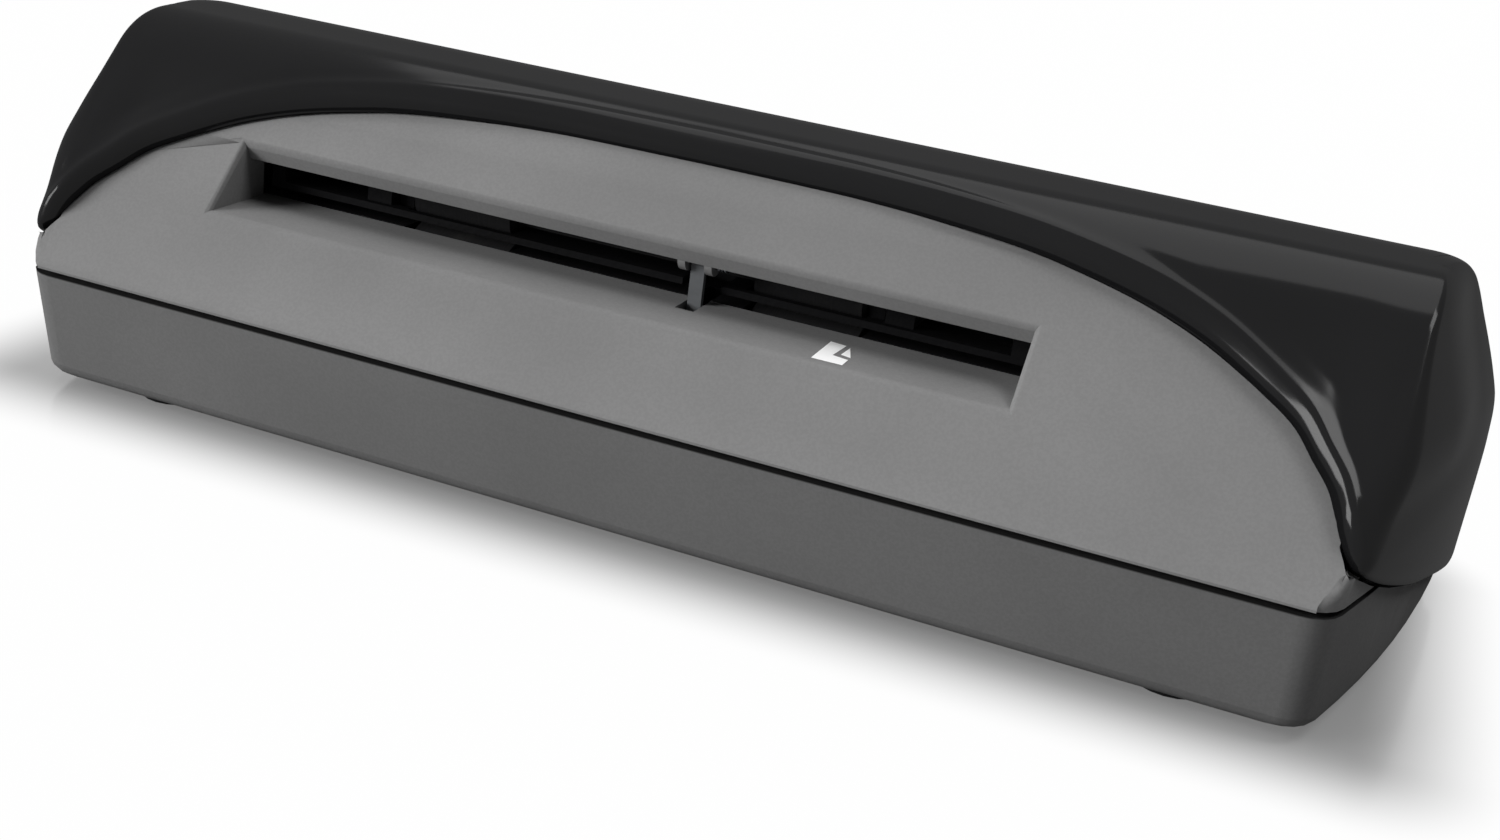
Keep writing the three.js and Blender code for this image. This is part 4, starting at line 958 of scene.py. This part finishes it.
    def section(self, z: Array, least_round: float = 0.0) -> tuple[Array, Array, Array]:
        """Places the right half's columns at their heights.

        The outline is a straight front, a corner arc that touches it and the end's bow, the bow,
        a back corner arc and a straight back. A column keeps its share of its stretch. The end
        swells a little in front of the ridge, and x past the press's start loses its square.

        Args:
            z: heights, one row for each row of points and one column for each column.
            least_round: smallest radius that a corner may have.

        Returns:
            Places along X and Y, and the turn of the outline's outward normal.
        """
        bow_x, bow_y = self.form.bow_centre
        radius = self.form.bow_radius - self.lean(z)
        round_f = np.maximum(monotone(z, *np.array(self.front_corner).T), least_round)
        round_b = np.maximum(monotone(z, *np.array(self.back_corner).T), least_round)
        front, back = self.front_y(z), self.back_y(z)
        low, high = front + round_f, back - round_b
        low_x = bow_x + np.sqrt((radius - round_f) ** 2 - (low - bow_y) ** 2)
        high_x = bow_x + np.sqrt((radius - round_b) ** 2 - (high - bow_y) ** 2)
        touch_f = np.arctan2(low - bow_y, low_x - bow_x)
        touch_b = np.arctan2(high - bow_y, high_x - bow_x)
        share = np.broadcast_to(self.share, z.shape)
        quarter = np.full(z.shape, math.pi / 2)
        corner = touch_b + (quarter - touch_b) * share
        corner = np.minimum(corner, self.notch_turn(z, high, round_b))
        at = [np.broadcast_to(self.kind == s.value, z.shape) for s in Stretch]
        turn = np.select(at, [
            -quarter, -quarter + (touch_f + quarter) * share,
            touch_f + (touch_b - touch_f) * share, corner, quarter,
        ])
        x = np.select(at, [
            low_x * share, low_x + round_f * np.cos(turn), bow_x + radius * np.cos(turn),
            high_x + round_b * np.cos(turn), high_x * share,
        ])
        y = np.select(at, [
            front, low + round_f * np.sin(turn), bow_y + radius * np.sin(turn),
            high + round_b * np.sin(turn), back,
        ])
        ramp = smooth_step(-y, *self.swell_ahead) * smooth_step(z, *self.swell_heights)
        x = x + self.swell * ramp * smooth_step(x, *self.swell_along)
        return x - self.end_press * np.maximum(x - self.end_press_from, 0) ** 2, y, turn

    def edge_height(self, x: Array, y: Array, z: Array, exit_half: float) -> Array:
        """Lower edge wanted at points of the outline.

        It is the smooth maximum of the panel's arc and the lobe's line, a m + l (1 - m) +
        r m (1 - m) with the share m of the arc clamped, then the ear's circle about the hinge, the
        notch behind the ear, and the rear edge with its rise over the card's exit.

        Args:
            x: places along the case.
            y: places front to back.
            z: heights now, from which the arc's next height is stepped.
            exit_half: half-width of the raised part of the rear edge.

        Returns:
            The next estimate of the edge's height at each column.
        """
        form, kind = self.form, self.kind
        arc = z + (form.arc_up(x) - form.up_panel(y, z)) * math.sin(form.slope)
        shares = np.array(self.edge_shares)
        start = -form.depth / 2
        along = start + shares[:, 0] * (form.hinge_y - start)
        heights = self.edge_rear + shares[:, 1] * (self.edge_front - self.edge_rear)
        lobe = monotone(y, along, heights)
        mix = np.clip(0.5 + (arc - lobe) / (2 * self.nose_round), 0, 1)
        outer = arc * mix + lobe * (1 - mix) + self.nose_round * mix * (1 - mix)
        ear = form.hinge_z - np.sqrt(np.maximum(form.ear_radius**2 - (y - form.hinge_y) ** 2, 0))
        outer = np.where(y > form.hinge_y, np.maximum(ear, self.edge_rear), outer)
        rear = self.exit_edge + (self.rear_edge - self.exit_edge) * np.clip(
            (x - exit_half) / (self.ear_side - exit_half), 0, 1
        )
        past = (y - form.hinge_y) / form.ear_radius
        ramp = smooth_step(self.share, *self.notch_shares)
        climb = form.hinge_z + ramp * (self.rear_edge - form.hinge_z)
        corner = np.where(self.share > self.notch_middle, self.rear_edge, outer)
        corner = np.where((ramp > 0) & (ramp < 1), climb, corner)
        corner = np.where((past >= 1) & (ramp == 0), form.hinge_z, corner)
        edge = np.where(kind == Stretch.BACK_CORNER.value, corner, outer)
        return np.where(kind == Stretch.BACK.value, rear, edge)

    def lower_edge(self, exit_half: float) -> Array:
        """Finds the lower edge of each column of the right half by repeated half steps.

        Args:
            exit_half: half-width of the raised part of the rear edge on this side.

        Returns:
            The edge's height at each column.
        """
        z = np.full(len(self.kind), self.edge_start)
        for _ in range(self.edge_passes):
            x, y, _ = self.section(z[None])
            wanted = self.edge_height(x[0], y[0], z, exit_half)
            z = np.clip(0.5 * z + 0.5 * wanted, self.edge_lowest, self.form.crown - self.crown_gap)
        return z

    def half(self, exit_half: float, least_round: float) -> tuple[Array, Array]:
        """Works out the right half's bare surface and its normals.

        Each column climbs from the lower edge to the crown, then runs level to the ridge's middle
        line. The rows lie at set distances from the edge, then spread to the end of the column.
        Where the edge climbs with a slope c, those distances grow by 1 / sqrt(1 - c^2). A normal is
        the outline's direction crossed with the column's.

        Args:
            exit_half: half-width of the raised part of the rear edge on this side.
            least_round: smallest radius that a corner may have.

        Returns:
            Points and outward normals, rows by columns.
        """
        form = self.form
        low = self.lower_edge(exit_half)
        tau = np.linspace(0, 1, self.column_steps)[:, None]
        z = form.crown - (form.crown - low[None]) * (1 - tau) ** 2
        x, y, turn = self.section(z, least_round)
        middle_y = (self.front_centre + self.back_centre) / 2
        half_ridge = (self.back_centre - self.front_centre) / 2
        reach = x[-1].max() - half_ridge
        level = np.linspace(0, 1, self.ridge_steps)[1:, None]
        straight = np.isin(self.kind, (Stretch.FRONT.value, Stretch.BACK.value))
        goal_x = np.where(straight, self.share * reach, reach)
        x = np.vstack([x, x[-1] + (goal_x - x[-1]) * level])
        y = np.vstack([y, y[-1] + (middle_y - y[-1]) * level])
        z = np.vstack([z, np.repeat(z[-1:], len(level), 0)])
        turn = np.vstack([turn, np.repeat(turn[-1:], len(level), 0)])
        line = np.stack([x, y, z], -1)
        step = np.linalg.norm(np.diff(line, axis=0), axis=-1)
        length = np.vstack([np.zeros(len(low)), np.cumsum(step, 0)])
        total = length[-1]
        lean = np.hypot(np.gradient(x[0]), np.gradient(y[0]))
        climb = np.abs(np.gradient(low)) / np.maximum(np.hypot(lean, np.gradient(low)), 1e-6)
        stretch = 1 / np.sqrt(1 - np.minimum(climb, self.steepest_edge) ** 2)
        first = np.array(self.edge_rows)[:, None] * stretch[None]
        shrink = np.minimum(1, self.edge_rows_most * total / first[-1])
        first = first * shrink
        rest = np.linspace(0, 1, self.field_rows + 1)[1:, None]
        wanted = np.vstack([first, first[-1] + (total - first[-1]) * rest])
        points = self.read_columns(length, line, wanted)
        turns = self.read_columns(length, turn[..., None], wanted)[..., 0]
        ahead = self.read_columns(length, line, np.minimum(wanted + self.normal_reach, total))
        behind = self.read_columns(length, line, np.maximum(wanted - self.normal_reach, 0))
        climb = ahead - behind
        across = np.stack([-np.sin(turns), np.cos(turns), np.zeros_like(turns)], -1)
        normal = np.cross(across, climb)
        normal /= np.maximum(np.linalg.norm(normal, axis=-1, keepdims=True), 1e-9)
        return points, normal

    @staticmethod
    def read_columns(length: Array, values: Array, wanted: Array) -> Array:
        """Reads each column's values at wanted lengths, straight between its samples.

        Args:
            length: increasing lengths, samples by columns.
            values: values at those lengths, samples by columns by parts.
            wanted: lengths to read at, rows by columns.

        Returns:
            Values, rows by columns by parts.
        """
        place = (length[None] <= wanted[:, None]).sum(1) - 1
        place = np.clip(place, 0, len(length) - 2)
        column = np.arange(length.shape[1])[None]
        low, high = length[place, column], length[place + 1, column]
        share = np.clip((wanted - low) / np.maximum(high - low, 1e-9), 0, 1)[..., None]
        return values[place, column] * (1 - share) + values[place + 1, column] * share

    def loop(self, least_round: float = 0.0) -> tuple[Array, Array]:
        """Joins the right half and the mirrored left half into one closed loop of columns.

        Args:
            least_round: smallest radius that a corner may have.

        Returns:
            Points and outward normals, rows by columns.
        """
        right, right_normal = self.half(self.exit_right, least_round)
        left, left_normal = self.half(self.exit_left, least_round)
        mirror = np.array([-1.0, 1.0, 1.0])
        left, left_normal = left[:, ::-1] * mirror, left_normal[:, ::-1] * mirror
        points = np.concatenate([right, left[:, 1:-1]], 1)
        normals = np.concatenate([right_normal, left_normal[:, 1:-1]], 1)
        return points, normals

    def edge_distance(self, points: Array) -> Array:
        """Measures how far each point is from the nearest place on the cover's lower edge.

        Args:
            points: places on the bare surface, rows by columns, with the edge as the first row.

        Returns:
            The distances, worked out a whole row at a time to spare memory.
        """
        edge = points[0]
        after = np.roll(edge, -1, 0)
        share = np.linspace(0, 1, self.edge_samples, endpoint=False)[:, None, None]
        dense = (edge[None] * (1 - share) + after[None] * share).reshape(-1, 3)
        gaps = (((row[:, None] - dense[None]) ** 2).sum(-1) for row in points)
        return np.stack([np.sqrt(gap).min(1) for gap in gaps])

    def sink(self, points: Array, normals: Array, distance: Array) -> Array:
        """How far each outer point lies inside the bare surface.

        At the edge the rim rolls over by a quarter of an ellipse, r (1 - sqrt(1 - n^2)) with n
        falling from 1 at the edge to 0 at the bead's crest. The bead and the groove behind it are
        bell curves of the distance, exp(-(d / w)^2). Near each end a hollow, the product of four
        smooth steps, closes in a round tip.

        Args:
            points: places on the bare surface.
            normals: outward normals there.
            distance: distances from the lower edge.

        Returns:
            Depths below the bare surface, in millimetres.
        """
        x, y, z = np.abs(points[..., 0]), points[..., 1], points[..., 2]
        ahead = -normals[..., 1] - self.facing_bend * np.abs(normals[..., 0])
        facing = smooth_step(ahead, 0.0, self.facing_full)
        crest = monotone(x, *np.array(self.bead_place).T)
        roll = self.roll_end + (self.roll_front - self.roll_end) * facing
        width = self.roll_width + (crest - self.roll_width) * facing
        near = 1 - np.minimum(distance, width) / width
        depth = roll * (1 - np.sqrt(1 - near**2))
        bead = -self.bead_height * np.exp(-(((distance - crest) / self.bead_width) ** 2))
        behind = distance - crest - self.groove_place
        groove = self.groove_depth * np.exp(-((behind / self.groove_width) ** 2))
        rise_from, rise_to = self.hollow_rise
        tip, tip_width = self.hollow_tip
        top, top_width = self.hollow_top
        hollow = smooth_step(distance, crest + rise_from, crest + rise_to)
        hollow = hollow * smooth_step(tip - x, 0.0, tip_width)
        hollow = self.hollow_depth * hollow * smooth_step(x, *self.hollow_along)
        hollow = hollow * smooth_step(top - self.form.up_panel(y, z), 0.0, top_width)
        return depth + facing * (bead + groove + hollow)

    def build(self) -> bpy.types.Object:
        """Builds the cover as one closed wall: outer rows down to the edge, inner rows back up.

        Returns:
            The cover.
        """
        points, normals = self.loop()
        distance = self.edge_distance(points)
        outer = points - normals * self.sink(points, normals, distance)[..., None]
        spread = np.arange(self.inner_from, len(points), self.inner_step)
        rows = np.unique(np.concatenate([self.inner_rows, spread, [len(points) - 1]]))
        points, normals = self.loop(self.wall + self.inner_round)
        inner = points[rows] - normals[rows] * self.wall
        grid = np.concatenate([outer[::-1], inner], 0)
        faces = grid_faces(len(grid), grid.shape[1], True)
        return mesh_object("cover_shell", grid.reshape(-1, 3), faces, weld=WELD)

    def dress(self, palette: "Palette") -> bpy.types.Object:
        """Builds the cover, gives it its finish and hangs it on the cover's body.

        Args:
            palette: the finishes.

        Returns:
            The dressed cover.
        """
        item = palette.dress(self.build(), "gloss_black")
        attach(item, "cover")
        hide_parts("top_cover")
        return item


@dataclass
class CoverPosts:
    """Four posts under the crown, each with a staked tip that holds the frame below."""

    places: tuple = ((-53.4, -4.14), (-53.4, 12.64), (36.6, -4.14), (36.6, 12.64))
    top: float = 45.6
    shoulder: float = 41.3
    stake: float = 39.5
    head: float = 0.7
    tip: float = 0.05
    chamfer: float = 0.3
    radius: float = 2.2
    neck: float = 0.8
    head_radius: float = 1.5
    sides: int = 28

    def build(self) -> bpy.types.Object:
        """Builds the posts: an outline (height h, radius r), swung round to (r cos a, r sin a, h).

        The outline runs down the post from its top and closes on its axis at both ends. It is
        copied to its four places as one mesh.

        Returns:
            The four posts.
        """
        shoulder, stake, chamfer = self.shoulder, self.stake, self.chamfer
        profile = np.array([
            (self.top, 0), (self.top, self.radius), (shoulder + chamfer, self.radius),
            (shoulder, self.radius - chamfer), (shoulder, self.neck), (stake, self.neck),
            (stake, self.head_radius), (stake - chamfer, self.head_radius),
            (stake - self.head, self.neck), (stake - self.head - self.tip, 0),
        ])
        angle = np.linspace(0, 2 * math.pi, self.sides, endpoint=False)
        ring = np.stack([
            profile[:, 1:] * np.cos(angle), profile[:, 1:] * np.sin(angle),
            np.repeat(profile[:, :1], len(angle), 1),
        ], -1).reshape(-1, 3)
        places = np.array([(x, y, 0.0) for x, y in self.places])
        points = (ring[None] + places[:, None]).reshape(-1, 3)
        faces = grid_faces(len(profile), len(angle), True)
        every = (faces[None] + np.arange(len(places))[:, None, None] * len(ring)).reshape(-1, 4)
        return mesh_object("cover_posts", points, every, weld=WELD)

    def dress(self, palette: "Palette") -> bpy.types.Object:
        """Builds the posts and hangs them on the cover's body.

        Args:
            palette: the finishes.

        Returns:
            The dressed posts.
        """
        item = palette.dress(self.build(), "inner_black")
        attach(item, "cover")
        return item


@dataclass
class CompressionSpring:
    """Round wire spring with closed ends, as long as the solid that it stands for."""

    node: str
    foot: str
    head: str
    wire: float
    turns: float
    closed: float = 0.75
    steps: int = 26
    sides: int = 10

    def rise(self, turn: Array, height: float) -> Array:
        """Height of the wire's middle line: a wire each turn, the rest between the closed ends.

        Args:
            turn: number of turns from the foot.
            height: height of the whole spring, in millimetres.

        Returns:
            The heights above the foot.
        """
        spare = height - self.wire * (1 + self.turns)
        middle = smooth_step(turn, self.closed, self.turns - self.closed)
        return self.wire / 2 + self.wire * turn + spare * middle

    def build(self) -> tuple[bpy.types.Object, Array, Array]:
        """Carries a round section along the helix x = R cos a, y = R sin a, z = rise(a).

        The section's two directions are the radius and the radius crossed with the line's tangent.
        The first and the last ring close to a point.

        Returns:
            The spring, and the lowest and highest corners of the solid it stands for.
        """
        low, high = (np.array(corner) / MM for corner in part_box(self.node))
        radius = (high[1] - low[1] - self.wire) / 2
        turn = np.linspace(0, self.turns, int(self.turns * self.steps) + 1)
        angle = turn * 2 * math.pi
        radial = np.stack([np.cos(angle), np.sin(angle), np.zeros_like(angle)], -1)
        line = radial * radius + low + radius + self.wire / 2
        line[:, 2] = low[2] + self.rise(turn, high[2] - low[2])
        tangent = np.gradient(line, axis=0)
        tangent /= np.linalg.norm(tangent, axis=1, keepdims=True)
        upward = np.cross(radial, tangent)
        around = np.linspace(0, 2 * math.pi, self.sides, endpoint=False)[None, :, None]
        section = radial[:, None] * np.cos(around) + upward[:, None] * np.sin(around)
        rings = line[:, None] + section * self.wire / 2
        tips = [np.repeat(line[end][None, None], self.sides, 1) for end in (0, -1)]
        grid = np.concatenate([tips[0], rings, tips[1]])
        faces = grid_faces(len(grid), self.sides, True)
        name = f"{self.node}_coil"
        return mesh_object(name, grid.reshape(-1, 3), faces, weld=FINE_WELD), low, high

    def dress(self, palette: "Palette") -> bpy.types.Object:
        """Builds the spring, gives it its finish and hides the node it stands for.

        Args:
            palette: the finishes.

        Returns:
            The dressed spring.
        """
        item, low, high = self.build()
        palette.dress(item, "spring_steel")
        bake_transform(item)
        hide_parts(self.node)
        return item


@dataclass
class CaseHalf:
    """One moulded half of the case: its solid, with the sharp edges rounded as by a mould.

    The spans give the heights between which the slot's mouth and the panel's lower corners lie.
    """

    node: str
    piece: str
    finish: str
    edge: float = 0.3
    edge_segments: int = 2
    soft_edge: float = 0.0
    soft_segments: int = 4
    flat_deg: float = 0.6
    sharp_deg: float = 32.0
    mouth_heights: Span = (27.0, 38.0)
    mouth_reach: float = 75.0
    corner_heights: Span = (18.1, 21.2)
    corner_from: float = 80.9
    plane_gap: float = 0.08

    def is_soft(self, edge: bmesh.types.BMEdge) -> bool:
        """Tells whether an edge belongs to the slot's mouth or to the panel's lower corners.

        Args:
            edge: an edge of the case half.

        Returns:
            True for a sharp edge that lies in the panel's plane, at the heights of one of these.
        """
        if len(edge.link_faces) != 2 or edge.calc_face_angle() < math.radians(self.sharp_deg):
            return False
        places = np.array([vert.co for vert in edge.verts]) / MM
        lift = ScannerForm().off_panel(places[:, 1], places[:, 2])
        along, lowest, highest = np.abs(places[:, 0]), places[:, 2].min(), places[:, 2].max()
        mouth = self.mouth_heights[0] < lowest and highest < self.mouth_heights[1]
        corner = self.corner_heights[0] < lowest and highest < self.corner_heights[1]
        wanted = (mouth and along.max() < self.mouth_reach) or (
            corner and along.min() > self.corner_from
        )
        return bool(np.abs(lift).max() < self.plane_gap and wanted)

    def build(self, frame: dict) -> bpy.types.Object:
        """Copies the node's mesh, merges it, clears its flat faces and bevels its edges.


        Returns:
            The softened case half.
        """
        mesh = frame["nodes"][self.node].data.copy()
        mesh.name = self.piece
        mesh.materials.clear()
        work = bmesh.new()
        work.from_mesh(mesh)
        bmesh.ops.remove_doubles(work, verts=work.verts, dist=FINE_WELD * MM)
        bmesh.ops.dissolve_degenerate(work, dist=FINE_WELD * MM, edges=work.edges)
        bmesh.ops.dissolve_limit(
            work, angle_limit=math.radians(self.flat_deg), verts=work.verts, edges=work.edges
        )
        if self.soft_edge:
            bmesh.ops.bevel(
                work, geom=[edge for edge in work.edges if self.is_soft(edge)], affect="EDGES",
                offset=self.soft_edge * MM, segments=self.soft_segments, profile=0.5,
                clamp_overlap=False,
            )
        work.to_mesh(mesh)
        work.free()
        mesh.polygons.foreach_set("use_smooth", [True] * len(mesh.polygons))
        mesh.set_sharp_from_angle(angle=math.radians(self.sharp_deg))
        item = bpy.data.objects.new(self.piece, mesh)
        bpy.context.scene.collection.objects.link(item)
        bevel = item.modifiers.new("edges", "BEVEL")
        bevel.width = self.edge * MM
        bevel.segments = self.edge_segments
        bevel.limit_method = "ANGLE"
        bevel.angle_limit = math.radians(self.sharp_deg)
        bevel.use_clamp_overlap = True
        bevel.harden_normals = True
        return item

    def dress(self, frame: dict, palette: "Palette") -> bpy.types.Object:
        """Builds the half, gives it its finish and lets it stand for its node.

        Args:
            palette: the finishes.

        Returns:
            The dressed half.
        """
        item = palette.dress(self.build(frame), self.finish)
        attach(item, "case")
        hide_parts(self.node)
        return item


@dataclass
class PageSign:
    """Small printed sign on the slot's floor: a page with a folded corner.

    The page's and the flap's outlines are shares of the sign's width and depth.
    """

    left: float = 20.9
    right: float = 24.7
    front: float = -22.7
    back: float = -15.6
    floor: float = 27.5
    lift: float = 0.005
    height: float = 0.03
    page: tuple = ((0, 0), (1, 0), (1, 0.30), (0.46, 0.36), (0.54, 0.96), (0.0, 1))
    flap: tuple = ((0.66, 0.48), (1.0, 0.43), (0.70, 0.90))

    def build(self) -> bpy.types.Object:
        """Builds the sign: the page's outline less one corner, and the folded corner beside it.

        Each outline is stood up from its lower level to its upper one as a flat prism.

        Returns:
            The sign.
        """
        size = (self.right - self.left, self.back - self.front)
        points, faces = [], []
        for outline in (self.page, self.flap):
            place = np.array(outline) * size + (self.left, self.front)
            count, start = len(place), sum(len(p) for p in points)
            for level in (self.floor + self.lift, self.floor + self.height):
                points.append(np.column_stack([place, np.full(count, level)]))
            ring = np.arange(count)
            after = (ring + 1) % count
            faces += [(start + ring[::-1]).tolist(), (start + count + ring).tolist()]
            faces += (start + np.stack([ring, after, after + count, ring + count], 1)).tolist()
        mesh = bpy.data.meshes.new("page_sign")
        mesh.from_pydata((np.concatenate(points) * MM).tolist(), [], faces)
        mesh.validate()
        item = bpy.data.objects.new("page_sign", mesh)
        bpy.context.scene.collection.objects.link(item)
        return item

    def dress(self, palette: "Palette") -> bpy.types.Object:
        """Builds the sign, prints it white and fixes it to the case.

        Args:
            palette: the finishes.

        Returns:
            The dressed sign.
        """
        item = palette.dress(self.build(), "ink")
        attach(item, "case")
        return item


@dataclass
class Internals:
    """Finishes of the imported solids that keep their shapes, by words in the solids' names."""

    finishes: dict = field(default_factory=lambda: {
        "rubber": ("tyre", "foot_", "pinch_roller"),
        "spring_steel": ("spring",),
        "steel": ("shaft", "stud", "screw", "hinge_pin"),
        "zinc": ("gear_plate",),
        "tin": ("motor", "usb_socket"),
        "brass": ("bush",),
        "glass": ("sensor_glass",),
        "white": ("backing_strip",),
        "socket_white": ("cable_socket",),
        "board_green": ("main_board",),
        "ribbon": ("sensor_cable",),
        "roller_grey": ("card_lever",),
    })

    def finish_for(self, node: str) -> str:
        """Chooses a finish by a node's name: gears first, then the first word that fits.

        Args:
            node: the node's name.

        Returns:
            The finish's name, which is the inner black where no word fits.
        """
        if node.endswith("_gear"):
            return "gear_white"
        fitting = (name for name, words in self.finishes.items() if any(w in node for w in words))
        return next(fitting, "inner_black")

    def dress(self, frame: dict, palette: "Palette", replaced: set[str]) -> None:
        """Gives every node that is still shown its finish.

        Args:
            palette: the finishes.
            replaced: names of the nodes that a piece stands for.
        """
        for name, node in frame["nodes"].items():
            if name not in replaced:
                finish = self.finish_for(name)
                palette.dress(node, finish)
                LOG.info("%s: %s", name, finish)


@dataclass
class Studio:
    """Camera at the photograph's place, plain soft lamps and a white floor.

    A lamp has a name, a place in metres, the side of its square in metres and a power in watts.
    """

    camera_place: tuple = (76.24616, -205.11755, 93.18002)
    camera_right: tuple = (0.92302333, 0.36370865, 0.12547493)
    camera_down: tuple = (0.24292182, -0.29802033, -0.9231321)
    camera_forward: tuple = (-0.29835705, 0.88255306, -0.36343248)
    lens: float = 42.045
    sensor_width: float = 36.0
    near_clip: float = 0.005
    ambient: float = 0.07
    lamps: tuple = (
        ("top", (-0.1, 0.52, 1.1), 1.16, 11.0),
        ("key", (-1.2, -0.95, 0.5), 0.8, 31.0),
        ("side", (0.5, -0.03, 1.0), 0.36, 3.9),
    )
    aim: tuple = (0.0, 0.0, 0.02)
    floor_half: float = 6000.0
    floor_dark: Rgba = (0.22, 0.22, 0.222, 1.0)
    floor_light: Rgba = (0.24, 0.24, 0.24, 1.0)
    shadow_core: tuple = (0.088, 0.026, 0.0)
    shadow_reach: float = 0.018
    shadow_shares: Span = (0.16, 0.99)

    def build_camera(self) -> None:
        """Places the camera: its axes are the picture's right, up and backward directions."""
        camera = bpy.data.objects.new("camera", bpy.data.cameras.new("camera"))
        bpy.context.scene.collection.objects.link(camera)
        axes = np.eye(4)
        axes[:3, 0] = self.camera_right
        axes[:3, 1] = -np.array(self.camera_down)
        axes[:3, 2] = -np.array(self.camera_forward)
        axes[:3, 3] = np.array(self.camera_place) * MM
        camera.matrix_world = Matrix(axes.tolist())
        camera.data.lens = self.lens
        camera.data.sensor_width = self.sensor_width
        camera.data.clip_start = self.near_clip
        bpy.context.scene.camera = camera

    def build_lamps(self) -> None:
        """Hangs the soft lamps, each a square that faces the scanner."""
        for name, place, size, power in self.lamps:
            lamp = bpy.data.lights.new(name, "AREA")
            lamp.energy, lamp.size, lamp.shape = power, size, "SQUARE"
            item = bpy.data.objects.new(name, lamp)
            bpy.context.scene.collection.objects.link(item)
            back = np.array(place) - self.aim
            back /= np.linalg.norm(back)
            side = np.cross((0.0, 0.0, 1.0), back)
            side /= np.linalg.norm(side)
            axes = np.eye(4)
            axes[:3] = np.column_stack([side, np.cross(back, side), back, place])
            item.matrix_world = Matrix(axes.tolist())

    def build_world(self) -> None:
        """Makes the surroundings: white where they are seen or mirrored, soft grey as light."""
        world = bpy.data.worlds.new("surroundings")
        bpy.context.scene.world = world
        world.use_nodes = True
        tree = world.node_tree
        tree.nodes.clear()
        path = tree.nodes.new("ShaderNodeLightPath")
        seen = path.outputs["Is Camera Ray"]
        for ray in ("Is Glossy Ray", "Is Transmission Ray"):
            either = tree.nodes.new("ShaderNodeMath")
            either.operation = "MAXIMUM"
            tree.links.new(seen, either.inputs[0])
            tree.links.new(path.outputs[ray], either.inputs[1])
            seen = either.outputs[0]
        level = tree.nodes.new("ShaderNodeMapRange")
        level.inputs["To Min"].default_value = self.ambient
        tree.links.new(seen, level.inputs["Value"])
        background = tree.nodes.new("ShaderNodeBackground")
        background.inputs["Color"].default_value = (1.0, 1.0, 1.0, 1.0)
        tree.links.new(level.outputs[0], background.inputs["Strength"])
        output = tree.nodes.new("ShaderNodeOutputWorld")
        tree.links.new(background.outputs[0], output.inputs[0])

    def build_floor(self) -> bpy.types.Object:
        """Lays the floor: a smooth sheet whose shadow fades to plain white away from the scanner.

        What is seen or mirrored of it is mixed with white light by the distance from a box under
        the scanner, the length of max(|place| - half the box, 0).

        Returns:
            The floor.
        """
        span = np.linspace(-1, 1, 3) * self.floor_half
        x, y = np.meshgrid(span, span)
        points = np.stack([x, y, np.zeros_like(x)], -1).reshape(-1, 3)
        floor = mesh_object("floor", points, grid_faces(3, 3, False))
        r = Recipe("white_floor")
        colour = r.blend(r.noise(6.0, 3.0), self.floor_dark, self.floor_light)
        r.finish(colour=colour, roughness=0.16, specular=0.5)
        past = r.node("VectorMath", {0: r.place}, operation="ABSOLUTE").outputs[0]
        for how, other in (("SUBTRACT", self.shadow_core), ("MAXIMUM", (0.0, 0.0, 0.0))):
            past = r.node("VectorMath", {0: past, 1: other}, operation=how).outputs[0]
        far = r.node("VectorMath", {0: past}, operation="LENGTH").outputs["Value"]
        rays = r.node("LightPath").outputs
        seen = r.sum(rays["Is Camera Ray"], rays["Is Glossy Ray"], "MAXIMUM")
        seen = r.sum(seen, r.ramp(far, 0.0, self.shadow_reach, *self.shadow_shares), "MULTIPLY")
        light = r.node("Emission", {"Color": (1.0, 1.0, 1.0, 1.0), "Strength": 1.0})
        mix = r.node("MixShader", {0: seen, 1: r.shader.outputs[0], 2: light.outputs[0]})
        r.tree.links.new(mix.outputs[0], r.tree.nodes["Material Output"].inputs["Surface"])
        floor.data.materials.append(r.material)
        return floor

    def build(self) -> None:
        """Sets up the whole studio and the plain view settings."""
        self.build_camera()
        self.build_lamps()
        self.build_world()
        self.build_floor()
        bpy.context.scene.view_settings.view_transform = "Standard"


def main() -> None:
    """Builds the studio and dresses the scanner, sub-assembly by sub-assembly."""
    logging.basicConfig(level=logging.INFO, format="%(name)s: %(message)s")
    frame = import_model()
    Studio().build()
    palette = Palette()
    pieces = [
        CaseHalf("lower_case", "case_base", "base_grey").dress(frame, palette),
        CaseHalf("upper_case", "case_panel", "panel_grey", soft_edge=0.7).dress(frame, palette),
        CoverShell().dress(palette),
        CoverPosts().dress(palette),
        PageSign().dress(palette),
    ]
    for side in ("left", "right"):
        spring = CompressionSpring(f"sensor_spring_{side}", "case", "sensor", wire=0.6, turns=5.0)
        pieces.append(spring.dress(palette))
        for row in ("front", "rear"):
            node = f"{row}_pinch_spring_{side}"
            spring = CompressionSpring(node, f"{row}_carrier", "cover", wire=0.4, turns=4.0)
            pieces.append(spring.dress(palette))
    for piece in pieces:
        LOG.info("%s: %d faces", piece.name, len(piece.data.polygons))
    replaced = {"lower_case", "upper_case", "top_cover"}
    replaced |= {name for name in frame["nodes"] if "spring_" in name}
    Internals().dress(frame, palette, replaced)


if __name__ == "__main__":
    main()
